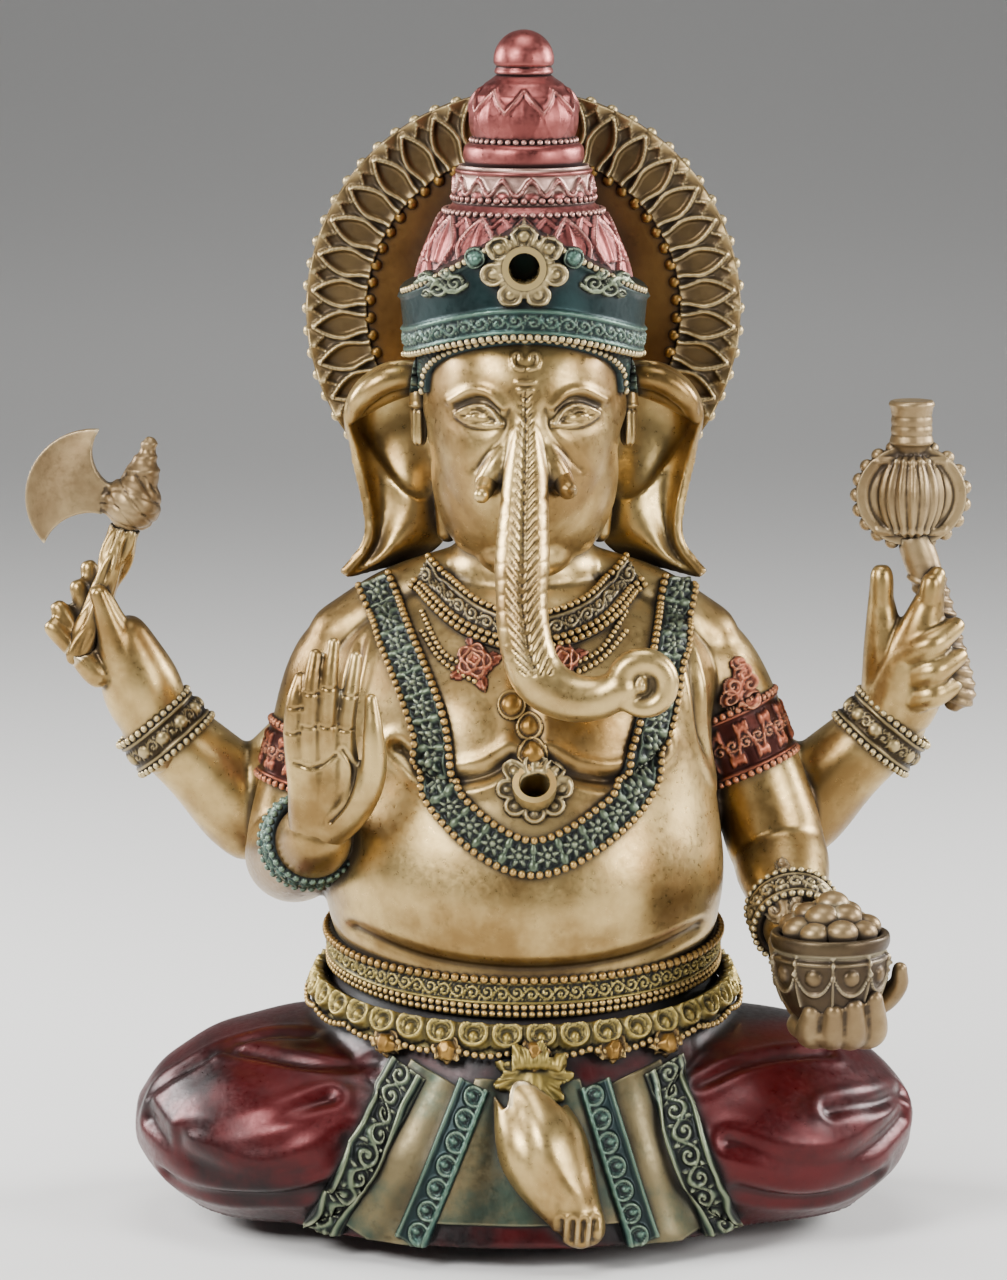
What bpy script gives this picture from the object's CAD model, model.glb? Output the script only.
"""Seated four-armed elephant-headed idol with a petal halo, dressed as painted cast resin stone.

Every size is in millimetres in the frame of the CAD model, with the idol facing -Y. Each
sub-assembly is a class whose fields are its sizes and whose `build` makes and dresses its pieces.
"""

import logging
import math
from collections.abc import Callable, Sequence
from dataclasses import dataclass, field
from enum import Enum

import bpy
import numpy as np
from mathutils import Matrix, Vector
from mathutils.bvhtree import BVHTree


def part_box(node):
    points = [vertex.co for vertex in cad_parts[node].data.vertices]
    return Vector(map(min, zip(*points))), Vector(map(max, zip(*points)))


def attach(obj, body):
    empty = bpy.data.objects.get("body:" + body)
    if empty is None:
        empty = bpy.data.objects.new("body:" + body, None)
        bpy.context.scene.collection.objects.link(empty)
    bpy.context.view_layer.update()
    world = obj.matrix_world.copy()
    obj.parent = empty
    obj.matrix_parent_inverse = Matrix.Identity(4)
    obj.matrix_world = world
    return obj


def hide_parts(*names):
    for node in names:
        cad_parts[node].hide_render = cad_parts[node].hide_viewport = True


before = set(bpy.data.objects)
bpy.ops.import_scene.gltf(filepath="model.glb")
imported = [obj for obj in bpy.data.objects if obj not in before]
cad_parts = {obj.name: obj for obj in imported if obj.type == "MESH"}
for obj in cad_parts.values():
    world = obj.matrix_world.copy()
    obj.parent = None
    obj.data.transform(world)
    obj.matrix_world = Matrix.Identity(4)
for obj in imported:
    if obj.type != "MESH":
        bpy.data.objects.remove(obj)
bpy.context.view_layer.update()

LOG = logging.getLogger("idol")
MM = 0.001
FAR = 1.0e6
TINY = 1e-6
FULL_TURN = 2 * math.pi
FRONT = np.array((0.0, -1.0, 0.0))
FACING_FRONT = -0.05  # normals below this in y look forward
OUTSIDE = -1.0  # height that keeps a spot out of a pattern
JOIN = 0.25  # growth that makes touching nodes join
SIDES = ((-1, "right"), (1, "left"))
Array = np.ndarray
Piece = bpy.types.Object
Socket = bpy.types.NodeSocket
Place = Sequence[float]
Pattern = Callable[[Array, Array], Array]
Volume = tuple[Array, list[tuple[int, ...]]]


class Slot(Enum):
    """Material slots of the record."""

    GOLD = "gold_wash_casting"
    COPPER = "copper_wash_casting"
    GREEN = "green_wash_casting"
    RED_CLOTH = "dark_red_cloth_casting"
    GREEN_CLOTH = "green_bronze_cloth_casting"
    BRONZE = "bronze_wash_casting"
    BRASS = "brass_sleeve"
    STEEL = "steel_dowel"


# ------------------------------------------------------------------ finishes


def colour(red: float, green: float, blue: float) -> tuple[float, float, float, float]:
    """Linear colour from display values of 0 to 255."""
    return (*[(c / 255) ** 2.2 for c in (red, green, blue)], 1.0)


class Wiring:
    """Adds nodes to one node tree and links them."""

    def __init__(self, tree: bpy.types.NodeTree) -> None:
        """Take up a tree."""
        self.tree = tree

    def feed(self, socket: Socket, value: object) -> None:
        """Link a socket into another, or set its value."""
        if isinstance(value, Socket):
            self.tree.links.new(value, socket)
        else:
            socket.default_value = value

    def add(self, kind: str, inputs: dict | None = None, **settings: object) -> bpy.types.Node:
        """Add a node.

        Args:
            kind: Node type, without the word that all shader nodes start with.
            inputs: Values or sockets for its inputs, by name or number.
            **settings: The node's own settings.

        Returns:
            The node.
        """
        node = self.tree.nodes.new(kind if kind.startswith("NodeGroup") else f"ShaderNode{kind}")
        for name, value in settings.items():
            setattr(node, name, value)
        for name, value in (inputs or {}).items():
            self.feed(node.inputs[name], value)
        return node

    def ranged(self, value: Socket, low: float, high: float, start: float = 0.0,
               stop: float = 1.0, shape: str = "LINEAR") -> Socket:
        """Map a value from low..high to start..stop."""
        return self.add("MapRange", {"Value": value, "From Min": low, "From Max": high,
                                     "To Min": start, "To Max": stop},
                        interpolation_type=shape).outputs["Result"]

    def scaled(self, value: Socket, factor: float, clamp: bool = True) -> Socket:
        """Multiply a value."""
        return self.add("Math", {0: value, 1: factor}, operation="MULTIPLY",
                        use_clamp=clamp).outputs[0]

    def layered(self, base: object, amount: Socket, top: object) -> Socket:
        """Lay one colour over another by a mask."""
        return self.add("Mix", {"Factor": amount, 6: base, 7: top}, data_type="RGBA").outputs[2]


def wash_group() -> bpy.types.ShaderNodeTree:
    """Masks of an antique wash: hollows, rubbed edges, clouds in the paint and its grain.

    Returns:
        The one node group that every painted finish shares.
    """
    found = bpy.data.node_groups.get("antique_wash")
    if found:
        return found
    group = bpy.data.node_groups.new("antique_wash", "ShaderNodeTree")
    for way, names in (("INPUT", ("Hollow Reach", "Edge Reach", "Cloud Scale", "Grain Scale")),
                       ("OUTPUT", ("Hollow", "Edge", "Cloud", "Grain", "Speck"))):
        for name in names:
            group.interface.new_socket(name, in_out=way, socket_type="NodeSocketFloat")
    wiring = Wiring(group)
    given, out = wiring.add("NodeGroupInput").outputs, wiring.add("NodeGroupOutput").inputs
    place = wiring.add("TexCoord").outputs["Object"]

    def noise(scale: str, factor: float, detail: float, roughness: float) -> Socket:
        return wiring.add("TexNoise", {
            "Vector": place, "Scale": wiring.scaled(given[scale], factor, clamp=False),
            "Detail": detail, "Roughness": roughness}).outputs["Fac"]

    cloud = noise("Cloud Scale", 1.0, 5.0, 0.62)
    grain = noise("Grain Scale", 1.0, 6.0, 0.7)
    speck = noise("Grain Scale", 0.35, 3.0, 0.8)
    for reach, inside, low, high, target in (("Hollow Reach", False, 0.96, 0.50, "Hollow"),
                                             ("Edge Reach", True, 0.86, 0.42, "Edge")):
        shade = wiring.add("AmbientOcclusion", {"Distance": given[reach]}, inside=inside,
                           samples=8, only_local=inside).outputs["AO"]
        wiring.feed(out[target], wiring.ranged(shade, low, high, shape="SMOOTHSTEP"))
    wiring.feed(out["Cloud"], wiring.ranged(cloud, 0.36, 0.64, shape="SMOOTHSTEP"))
    wiring.feed(out["Grain"], grain)
    wiring.feed(out["Speck"], wiring.ranged(speck, 0.58, 0.74, shape="SMOOTHSTEP"))
    return group


@dataclass(frozen=True)
class CastFinish:
    """Metallic paint over cast resin stone, with a dark wash wiped back from the high parts."""

    name: str
    coat: tuple[float, float, float]
    cloud: tuple[float, float, float]
    wash: tuple[float, float, float]
    rubbed: tuple[float, float, float]
    raised: tuple[float, float, float] | None = None
    metallic: float = 0.9
    gloss_roughness: float = 0.30
    dull_roughness: float = 0.52
    hollow_reach: float = 2.6
    edge_reach: float = 0.8
    cloud_scale: float = 55.0
    grain_scale: float = 900.0
    grain_depth: float = 0.05
    wash_strength: float = 0.92
    cloud_strength: float = 0.7
    edge_strength: float = 0.6
    speck_strength: float = 0.25
    coat_weight: float = 0.0
    ground_wash: float = 0.6

    def material(self) -> bpy.types.Material:
        """Node material of this finish, made once."""
        made = bpy.data.materials.get(self.name)
        if made:
            return made
        made = bpy.data.materials.new(self.name)
        made.use_nodes = True
        wiring, shader = Wiring(made.node_tree), made.node_tree.nodes["Principled BSDF"].inputs
        group = wiring.add("Group", node_tree=wash_group())
        for name, value in (("Hollow Reach", self.hollow_reach * MM),
                            ("Edge Reach", self.edge_reach * MM),
                            ("Cloud Scale", self.cloud_scale), ("Grain Scale", self.grain_scale)):
            group.inputs[name].default_value = value
        masks = group.outputs
        rise = wiring.add("Attribute", attribute_name="rise").outputs["Fac"]
        wash = colour(*self.wash)
        layers = [(masks["Cloud"], self.cloud_strength, colour(*self.cloud))]
        if self.raised:
            layers.append((rise, None, colour(*self.raised)))
        if self.ground_wash:
            layers.append((wiring.ranged(rise, 0.62, 0.12), self.ground_wash, wash))
        layers += [(masks["Speck"], self.speck_strength, wash),
                   (masks["Edge"], self.edge_strength, colour(*self.rubbed)),
                   (masks["Hollow"], self.wash_strength, wash)]
        paint: object = colour(*self.coat)
        for mask, strength, top in layers:
            amount = mask if strength is None else wiring.scaled(mask, strength)
            paint = wiring.layered(paint, amount, top)
        dull = wiring.ranged(masks["Grain"], 0.3, 0.7, self.gloss_roughness, self.dull_roughness)
        rough = wiring.add("Math", {0: dull, 1: wiring.scaled(masks["Hollow"], 0.7)},
                           operation="MAXIMUM").outputs[0]
        metal = wiring.ranged(masks["Hollow"], 0.0, 1.0, self.metallic, self.metallic * 0.35)
        bump = wiring.add("Bump", {"Strength": 0.55, "Distance": self.grain_depth * MM,
                                   "Height": masks["Grain"]}).outputs["Normal"]
        for name, value in (("Base Color", paint), ("Roughness", rough), ("Metallic", metal),
                            ("Coat Weight", self.coat_weight), ("Coat Roughness", 0.25),
                            ("Normal", bump)):
            wiring.feed(shader[name], value)
        return made


GOLD_SKIN = CastFinish(
    "gold_skin", (192, 164, 108), (112, 84, 46), (30, 20, 10), (246, 234, 200),
    gloss_roughness=0.24, dull_roughness=0.42, cloud_scale=38.0, cloud_strength=0.85,
    edge_strength=0.35, ground_wash=0.8)
GOLD_BEAD = CastFinish(
    "gold_bead", (150, 116, 62), (98, 70, 34), (22, 14, 7), (226, 194, 126), hollow_reach=1.6)
HALO_GOLD = CastFinish(
    "halo_gold", (142, 116, 76), (98, 76, 46), (30, 21, 12), (206, 184, 136),
    raised=(184, 162, 116), hollow_reach=3.0, cloud_scale=60.0, ground_wash=0.35)
HALO_FIELD = CastFinish(
    "halo_field", (118, 88, 50), (72, 48, 25), (24, 15, 8), (168, 134, 84),
    hollow_reach=9.0, cloud_scale=34.0, gloss_roughness=0.34, ground_wash=0.0)
BRONZE = CastFinish(
    "bronze_band", (112, 94, 62), (72, 56, 34), (20, 13, 8), (212, 192, 146),
    raised=(166, 148, 106), hollow_reach=1.8, ground_wash=0.85)
STONE_BRONZE = CastFinish(
    "stone_bronze", (152, 130, 94), (104, 82, 56), (34, 24, 15), (218, 202, 164),
    hollow_reach=2.4, metallic=0.75, ground_wash=0.8)
COPPER = CastFinish(
    "copper_crown", (148, 84, 80), (104, 52, 50), (26, 11, 10), (222, 178, 162),
    gloss_roughness=0.24, hollow_reach=2.2, edge_strength=0.6,
    ground_wash=0.9)
RED_COPPER = CastFinish(
    "red_copper", (126, 60, 46), (88, 36, 28), (22, 9, 7), (206, 150, 110),
    raised=(164, 96, 72), hollow_reach=1.8, ground_wash=0.85)
TEAL = CastFinish(
    "teal_band", (30, 54, 52), (20, 38, 37), (6, 10, 10), (172, 174, 142),
    raised=(106, 116, 92), hollow_reach=1.7, metallic=0.8, edge_strength=0.5, ground_wash=0.9)
TEAL_PLAIN = CastFinish(
    "teal_plain", (36, 66, 66), (24, 44, 45), (7, 12, 12), (146, 156, 128),
    raised=(74, 100, 88), hollow_reach=1.9, metallic=0.75, edge_strength=0.5, ground_wash=0.6)
GREEN_GOLD = CastFinish(
    "green_gold", (84, 76, 38), (50, 50, 26), (12, 10, 5), (206, 184, 108),
    raised=(150, 130, 72), hollow_reach=1.7, edge_strength=0.6, ground_wash=0.9)
CLOTH_RED = CastFinish(
    "cloth_red", (16, 5, 7), (92, 8, 15), (4, 2, 2), (56, 12, 14),
    metallic=0.55, gloss_roughness=0.26, dull_roughness=0.44, cloud_scale=34.0,
    cloud_strength=0.6, edge_strength=0.2, hollow_reach=4.0, coat_weight=0.04, ground_wash=0.4)
CLOTH_GREEN = CastFinish(
    "cloth_green", (112, 100, 72), (52, 74, 66), (20, 16, 11), (190, 176, 136),
    metallic=0.8, cloud_scale=70.0, cloud_strength=0.85, hollow_reach=2.6, ground_wash=0.5)
BRASS = CastFinish(
    "brass_sleeve", (190, 142, 62), (140, 96, 36), (36, 21, 7), (240, 206, 130),
    metallic=1.0, gloss_roughness=0.2, dull_roughness=0.34, ground_wash=0.0)
STEEL = CastFinish(
    "steel_pin", (150, 150, 154), (120, 120, 124), (40, 40, 42), (200, 200, 204), metallic=1.0,
    ground_wash=0.0)


# ------------------------------------------------------------------ bench tools


def pick(*objects: Piece) -> None:
    """Select only these objects, the first one active."""
    bpy.ops.object.select_all(action="DESELECT")
    for item in objects:
        item.select_set(True)
    bpy.context.view_layer.objects.active = objects[0]


def applied(piece: Piece, kind: str, **settings: object) -> None:
    """Add a modifier with these settings and apply it."""
    pick(piece)
    modifier = piece.modifiers.new(kind.lower(), kind)
    for name, value in settings.items():
        setattr(modifier, name, value)
    bpy.ops.object.modifier_apply(modifier=modifier.name)


def made_mesh(name: str, points: Array, faces: Sequence[Sequence[int]]) -> Piece:
    """New object at the origin from places in millimetres and faces."""
    mesh = bpy.data.meshes.new(name)
    mesh.from_pydata((np.asarray(points) * MM).tolist(), [], [tuple(f) for f in faces])
    mesh.update()
    piece = bpy.data.objects.new(name, mesh)
    bpy.context.scene.collection.objects.link(piece)
    return piece


def places(piece: Piece) -> Array:
    """Vertex places of a piece in millimetres."""
    flat = np.zeros(len(piece.data.vertices) * 3, np.float32)
    piece.data.vertices.foreach_get("co", flat)
    return flat.reshape(-1, 3).astype(float) / MM


def put_places(piece: Piece, points: Array) -> None:
    """Write vertex places given in millimetres."""
    piece.data.vertices.foreach_set("co", (points * MM).astype(np.float32).ravel())
    piece.data.update()


def outward(piece: Piece) -> Array:
    """Unit normals of a piece's vertices."""
    flat = np.zeros(len(piece.data.vertices) * 3, np.float32)
    piece.data.vertex_normals.foreach_get("vector", flat)
    return flat.reshape(-1, 3).astype(float)


def surface(*pieces: Piece) -> BVHTree:
    """Searchable surface of some pieces, in millimetres."""
    points: list[Array] = []
    faces: list[tuple[int, ...]] = []
    for piece in pieces:
        start = sum(len(block) for block in points)
        points.append(places(piece))
        faces += [tuple(start + i for i in face.vertices) for face in piece.data.polygons]
    return BVHTree.FromPolygons(np.vstack(points).tolist(), faces)


def cad(*nodes: str) -> list[Piece]:
    """CAD node objects by name."""
    return [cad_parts[node] for node in nodes]


def middle(node: str) -> Array:
    """Centre of a CAD node's box in millimetres."""
    low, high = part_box(node)
    return np.array((low + high) / 2) / MM


def low_high(node: str) -> tuple[Array, Array]:
    """Corners of a CAD node's box in millimetres."""
    low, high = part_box(node)
    return np.array(low) / MM, np.array(high) / MM


def casting(name: str, nodes: Sequence[str], cell: float = 0.5, smoothing: int = 4,
            extra: Sequence[Volume] = ()) -> Piece:
    """Fuse CAD nodes into one closed, evenly divided skin that can be worked like clay.

    Args:
        name: Name of the new piece.
        nodes: CAD nodes that it is made from.
        cell: Size of the skin's cells in millimetres.
        smoothing: Smoothing passes.
        extra: Volumes of clay added before the skin is made.

    Returns:
        The new piece.
    """
    copies = [made_mesh(name, points, faces) for points, faces in extra]
    for source in cad(*nodes):
        mesh = source.data.copy()
        copy = bpy.data.objects.new(name, mesh)
        bpy.context.scene.collection.objects.link(copy)
        pick(copy)
        bpy.ops.object.mode_set(mode="EDIT")
        bpy.ops.mesh.select_all(action="SELECT")
        bpy.ops.mesh.remove_doubles(threshold=TINY)
        bpy.ops.object.mode_set(mode="OBJECT")
        put_places(copy, places(copy) + outward(copy) * JOIN)
        copies.append(copy)
    pick(*copies)
    if len(copies) > 1:
        bpy.ops.object.join()
    piece = copies[0]
    piece.name = piece.data.name = name
    applied(piece, "REMESH", mode="VOXEL", voxel_size=cell * MM, use_smooth_shade=True)
    applied(piece, "SMOOTH", factor=0.5, iterations=smoothing)
    put_places(piece, places(piece) - outward(piece) * JOIN)
    return piece


def dressed(piece: Piece, finish: CastFinish, slot: Slot, *nodes: str) -> Piece:
    """Give a piece its finish, fix it to the idol's one body and log it.

    Args:
        piece: The piece.
        finish: Its finish.
        slot: The record's material slot.
        *nodes: CAD nodes that it stands for.

    Returns:
        The same piece.
    """
    piece.data.materials.clear()
    piece.data.materials.append(finish.material())
    if "rise" not in piece.data.attributes:
        mark_rise(piece, hollows(piece))
    for face in piece.data.polygons:
        face.use_smooth = True
    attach(piece, "root")
    if nodes:
        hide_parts(*nodes)
    LOG.info("%s: %d faces", piece.name, len(piece.data.polygons))
    return piece


def kept_node(node: str, finish: CastFinish) -> None:
    """Show a CAD node as it is, with a finish of its own."""
    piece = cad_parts[node]
    piece.data.materials.clear()
    piece.data.materials.append(finish.material())


# ------------------------------------------------------------------ volumes of clay


def lump(centre: Place, radii: Place) -> Volume:
    """Rounded lump of clay with a radius along X, Y and Z."""
    points, faces = bead_template(4)
    return points * np.asarray(radii, float) + np.asarray(centre, float), faces


def roll(spots: Sequence[Place], radii: Sequence[float], sides: int = 28) -> Volume:
    """Roll of clay along a smooth line, with a radius at each spot and rounded ends."""
    knots = np.hstack([np.asarray(spots, float), np.asarray(radii, float)[:, None]])
    line = smooth_line(knots, 0.5)
    way = unit(np.gradient(line[:, :3], axis=0))
    first, last = line[0], line[-1]
    caps = np.array((0.3, 0.6, 0.85, 0.97))
    head = [np.append(first[:3] - way[0] * first[3] * c, first[3] * math.sqrt(1 - c * c))
            for c in caps[::-1]]
    tail = [np.append(last[:3] + way[-1] * last[3] * c,
                      last[3] * math.sqrt(1 - c * c)) for c in caps]
    line = np.vstack([head, line, tail])
    way = np.vstack([[way[0]] * len(caps), way, [way[-1]] * len(caps)])
    side = unit(np.cross(way[0], (0.31, 0.91, 0.27)))
    rings = []
    for spot, along in zip(line, way):
        side = unit(side - along * (side @ along))
        angle = np.linspace(0, FULL_TURN, sides, endpoint=False)[:, None]
        rings.append(spot[:3] + spot[3] * (np.cos(angle) * side + np.sin(angle) * np.cross(along,
                                                                                           side)))
    points = np.vstack([*rings, line[:1, :3], line[-1:, :3]])
    faces: list[tuple[int, ...]] = []
    for r in range(len(rings) - 1):
        for k in range(sides):
            a, b = r * sides + k, r * sides + (k + 1) % sides
            faces.append((a, b, b + sides, a + sides))
    low, high, end = len(points) - 2, len(points) - 1, (len(rings) - 1) * sides
    for k in range(sides):
        faces.append((low, (k + 1) % sides, k))
        faces.append((high, end + k, end + (k + 1) % sides))
    return points, faces


# ------------------------------------------------------------------ lines, sheets and reliefs


def smooth_line(points: Sequence[Place], pitch: float = 0.3) -> Array:
    """Even steps along a smooth curve through the given places.

    Args:
        points: Places in two or three dimensions.
        pitch: Distance between steps.

    Returns:
        Places along the curve.
    """
    knots = np.asarray(points, float)
    if len(knots) > 2:
        ends = np.vstack([2 * knots[0] - knots[1], knots, 2 * knots[-1] - knots[-2]])
        t = np.linspace(0, 1, 24, endpoint=False)[:, None]
        runs = []
        for a, b, c, d in zip(ends, ends[1:], ends[2:], ends[3:]):
            runs.append(0.5 * (2 * b + (c - a) * t + (2 * a - 5 * b + 4 * c - d) * t**2
                               + (3 * b - a - 3 * c + d) * t**3))
        knots = np.vstack([*runs, knots[-1:]])
    return even_steps(knots, pitch)


def even_steps(line: Array, pitch: float) -> Array:
    """Resample a line at even steps of about the given pitch."""
    gaps = np.linalg.norm(np.diff(line, axis=0), axis=1)
    run = np.concatenate([[0], np.cumsum(gaps)])
    count = max(2, int(round(run[-1] / pitch)) + 1)
    wanted = np.linspace(0, run[-1], count)
    return np.stack([np.interp(wanted, run, line[:, k]) for k in range(line.shape[1])], 1)


def unit(vectors: Array) -> Array:
    """Vectors of length one."""
    return vectors / np.maximum(np.linalg.norm(vectors, axis=-1, keepdims=True), 1e-9)


@dataclass
class Sheet:
    """Grid of places on a surface, with the distance along and across it at each place."""

    points: Array
    along: Array
    across: Array
    normals: Array
    closed: bool = False

    @classmethod
    def laid(cls, points: Array, facing: Array, closed: bool = False, even: bool = True) -> "Sheet":
        """Measure a grid of places.

        Args:
            points: Rows along the sheet, columns across it.
            facing: Rough outward direction, one for all or one for each place.
            closed: The last row meets the first.
            even: Soften the normals, so that a relief stands evenly.

        Returns:
            The sheet.
        """
        centre = points[:, points.shape[1] // 2]
        run = np.linalg.norm(np.diff(centre, axis=0), axis=1)
        along = np.concatenate([[0], np.cumsum(run)])[:, None] * np.ones(points.shape[1])
        steps = np.linalg.norm(np.diff(points, axis=1), axis=2)
        across = np.concatenate([np.zeros((len(points), 1)), np.cumsum(steps, 1)], 1)
        across -= across[:, -1:] / 2
        if closed:
            lengthwise = (np.roll(points, -1, 0) - np.roll(points, 1, 0))
        else:
            lengthwise = np.gradient(points, axis=0)
        normals = unit(np.cross(lengthwise, np.gradient(points, axis=1)))
        side = np.sign(np.sum(normals * facing, -1).mean()) or 1.0
        normals = normals * side
        for _ in range(4 if even else 0):
            wide = np.pad(normals, ((0, 0), (1, 1), (0, 0)), "edge")
            normals = unit(wide[:, :-2] + 2 * normals + wide[:, 2:])
            if closed:
                normals = unit(np.roll(normals, 1, 0) + 2 * normals + np.roll(normals, -1, 0))
            else:
                tall = np.pad(normals, ((1, 1), (0, 0), (0, 0)), "edge")
                normals = unit(tall[:-2] + 2 * normals + tall[2:])
        sheet = cls(points, along, across, normals, closed)
        sheet.flipped = side < 0
        return sheet

    flipped: bool = field(default=False, init=False)

    @property
    def length(self) -> float:
        """Length along the middle, round to the start where the sheet is closed."""
        middle_line = self.points[:, self.points.shape[1] // 2]
        gap = np.linalg.norm(middle_line[0] - middle_line[-1]) if self.closed else 0.0
        return float(self.along[-1, 0] + gap)

    def line(self, share: float, lift: float) -> Array:
        """Line along the sheet, at a share of its width and lifted off it."""
        column = int(round(share * (self.points.shape[1] - 1)))
        return self.points[:, column] + self.normals[:, column] * lift

    def relief(self, name: str, height: Array | float, sink: float = 0.6,
               keep: Array | None = None) -> Piece:
        """Closed solid whose face stands off the sheet by the given heights.

        Args:
            name: Name of the piece.
            height: Height at each place.
            sink: How far the back lies under the sheet.
            keep: Places inside the outline; cells without one are left out.

        Returns:
            The piece, with its relative height in the attribute `rise`.
        """
        rows, columns = self.points.shape[:2]
        heights = np.broadcast_to(height, (rows, columns))
        top = self.points + self.normals * heights[..., None]
        back = self.points - self.normals * sink
        top[..., 2], back[..., 2] = np.maximum(top[..., 2], 0.0), np.maximum(back[..., 2], 0.0)
        index = np.arange(rows * columns).reshape(rows, columns)
        if self.closed:
            index = np.vstack([index, index[:1]])
        under = index + rows * columns

        def quads(a: Array, b: Array, c: Array, d: Array) -> Array:
            return np.stack([a.ravel(), b.ravel(), c.ravel(), d.ravel()], 1)

        face = quads(index[:-1, :-1], index[1:, :-1], index[1:, 1:], index[:-1, 1:])
        rear = quads(under[:-1, :-1], under[:-1, 1:], under[1:, 1:], under[1:, :-1])
        walls = [quads(index[:-1, 0], under[:-1, 0], under[1:, 0], index[1:, 0]),
                 quads(index[:-1, -1], index[1:, -1], under[1:, -1], under[:-1, -1])]
        if not self.closed:
            walls += [quads(index[0, :-1], index[0, 1:], under[0, 1:], under[0, :-1]),
                      quads(index[-1, :-1], under[-1, :-1], under[-1, 1:], index[-1, 1:])]
        if keep is not None:
            inside = (keep[:-1, :-1] | keep[1:, :-1] | keep[1:, 1:] | keep[:-1, 1:]).ravel()
            face, rear = face[inside], rear[inside]
            sides = np.vstack([face[:, [k, (k + 1) % 4]] for k in range(4)])
            known = {(a, b) for a, b in sides.tolist()}
            border = np.array([(a, b) for a, b in sides.tolist() if (b, a) not in known])
            walls = [np.stack([border[:, 1], border[:, 0], border[:, 0] + rows * columns,
                               border[:, 1] + rows * columns], 1)]
        faces = np.vstack([face, rear, *walls])
        if self.flipped:
            faces = faces[:, ::-1]
        piece = made_mesh(name, np.vstack([top.reshape(-1, 3), back.reshape(-1, 3)]),
                          faces.tolist())
        low, high = float(heights.min()), float(heights.max())
        share = (heights - low) / max(high - low, TINY)
        mark_rise(piece, np.concatenate([share.ravel(), np.zeros(rows * columns)]))
        if keep is not None:
            pick(piece)
            bpy.ops.object.mode_set(mode="EDIT")
            bpy.ops.mesh.select_all(action="SELECT")
            bpy.ops.mesh.delete_loose()
            bpy.ops.object.mode_set(mode="OBJECT")
        return piece


def hollows(piece: Piece, passes: int = 8, depth: float = 0.10) -> Array:
    """How far each vertex stands out of its neighbourhood, about 0.75 on a plain skin.

    Args:
        piece: The piece.
        passes: Size of the neighbourhood, in smoothing passes.
        depth: Depth in millimetres that counts as a full hollow.

    Returns:
        Values from 0 in hollows to 1 on high parts.
    """
    count = len(piece.data.vertices)
    edges = np.zeros(len(piece.data.edges) * 2, np.int32)
    piece.data.edges.foreach_get("vertices", edges)
    ends = edges.reshape(-1, 2)
    here, there = np.concatenate([ends[:, 0], ends[:, 1]]), np.concatenate([ends[:, 1], ends[:, 0]])
    degree = np.maximum(np.bincount(here, minlength=count), 1)[:, None]
    points = places(piece)
    smooth = points
    for _ in range(passes):
        total = np.stack([np.bincount(here, smooth[there, k], count) for k in range(3)], 1)
        smooth = 0.5 * smooth + 0.5 * total / degree
    stand = np.sum((points - smooth) * outward(piece), axis=1)
    return np.clip(0.75 + 0.6 * stand / depth, 0, 1)


def mark_rise(piece: Piece, share: Array) -> None:
    """Store how high each vertex stands, from 0 to 1, for the finish to read."""
    layer = piece.data.attributes.get("rise") or piece.data.attributes.new("rise", "FLOAT", "POINT")
    layer.data.foreach_set("value", np.asarray(share, np.float32))


def front_places(x: Array, z: Array, target: BVHTree) -> Array:
    """Places where lines from the front, along +Y, meet a surface; gaps take their neighbour's."""
    depth = np.full(x.shape, np.nan)
    for index in np.ndindex(x.shape):
        hit = target.ray_cast(Vector((x[index], -150.0, z[index])), Vector((0, 1, 0)))
        if hit[0] is not None:
            depth[index] = hit[0].y
    flat = depth.reshape(len(depth), -1)
    known = np.isfinite(flat)
    if not known.all():
        for row in range(len(flat)):
            if known[row].any():
                at = np.arange(flat.shape[1])
                flat[row] = np.interp(at, at[known[row]], flat[row][known[row]])
        rows = np.isfinite(flat[:, 0])
        at = np.arange(len(flat))
        for column in range(flat.shape[1]):
            flat[:, column] = np.interp(at, at[rows], flat[rows, column])
    return np.stack([x, flat.reshape(x.shape), z], -1)


def front_strip(line: Sequence[tuple[float, float]], width: float | Array, target: BVHTree,
                step: float = 0.3) -> Sheet:
    """Ribbon along a line seen from the front, laid on a surface.

    Args:
        line: Places (x, z) along the ribbon's middle.
        width: Width, one for all or one for each end.
        target: The surface.
        step: Size of the ribbon's cells.

    Returns:
        The ribbon as a sheet.
    """
    centre = smooth_line(line, step)
    lengthwise = unit(np.gradient(centre, axis=0))
    aside = np.stack([-lengthwise[:, 1], lengthwise[:, 0]], 1)
    widths = np.interp(np.linspace(0, 1, len(centre)),
                       np.linspace(0, 1, np.size(width)), np.atleast_1d(width))
    share = np.linspace(-0.5, 0.5, max(4, int(round(float(np.max(widths)) / step)) + 1))
    x = centre[:, :1] + aside[:, :1] * widths[:, None] * share
    z = centre[:, 1:] + aside[:, 1:] * widths[:, None] * share
    points = front_places(x, z, target)
    for _ in range(2):  # evens out small bumps underneath
        wide = np.pad(points[..., 1], ((1, 1), (1, 1)), "edge")
        points[..., 1] = (wide[:-2, 1:-1] + wide[2:, 1:-1] + wide[1:-1, :-2] + wide[1:-1, 2:]
                          + 4 * wide[1:-1, 1:-1]) / 8
    return Sheet.laid(points, FRONT)


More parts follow.
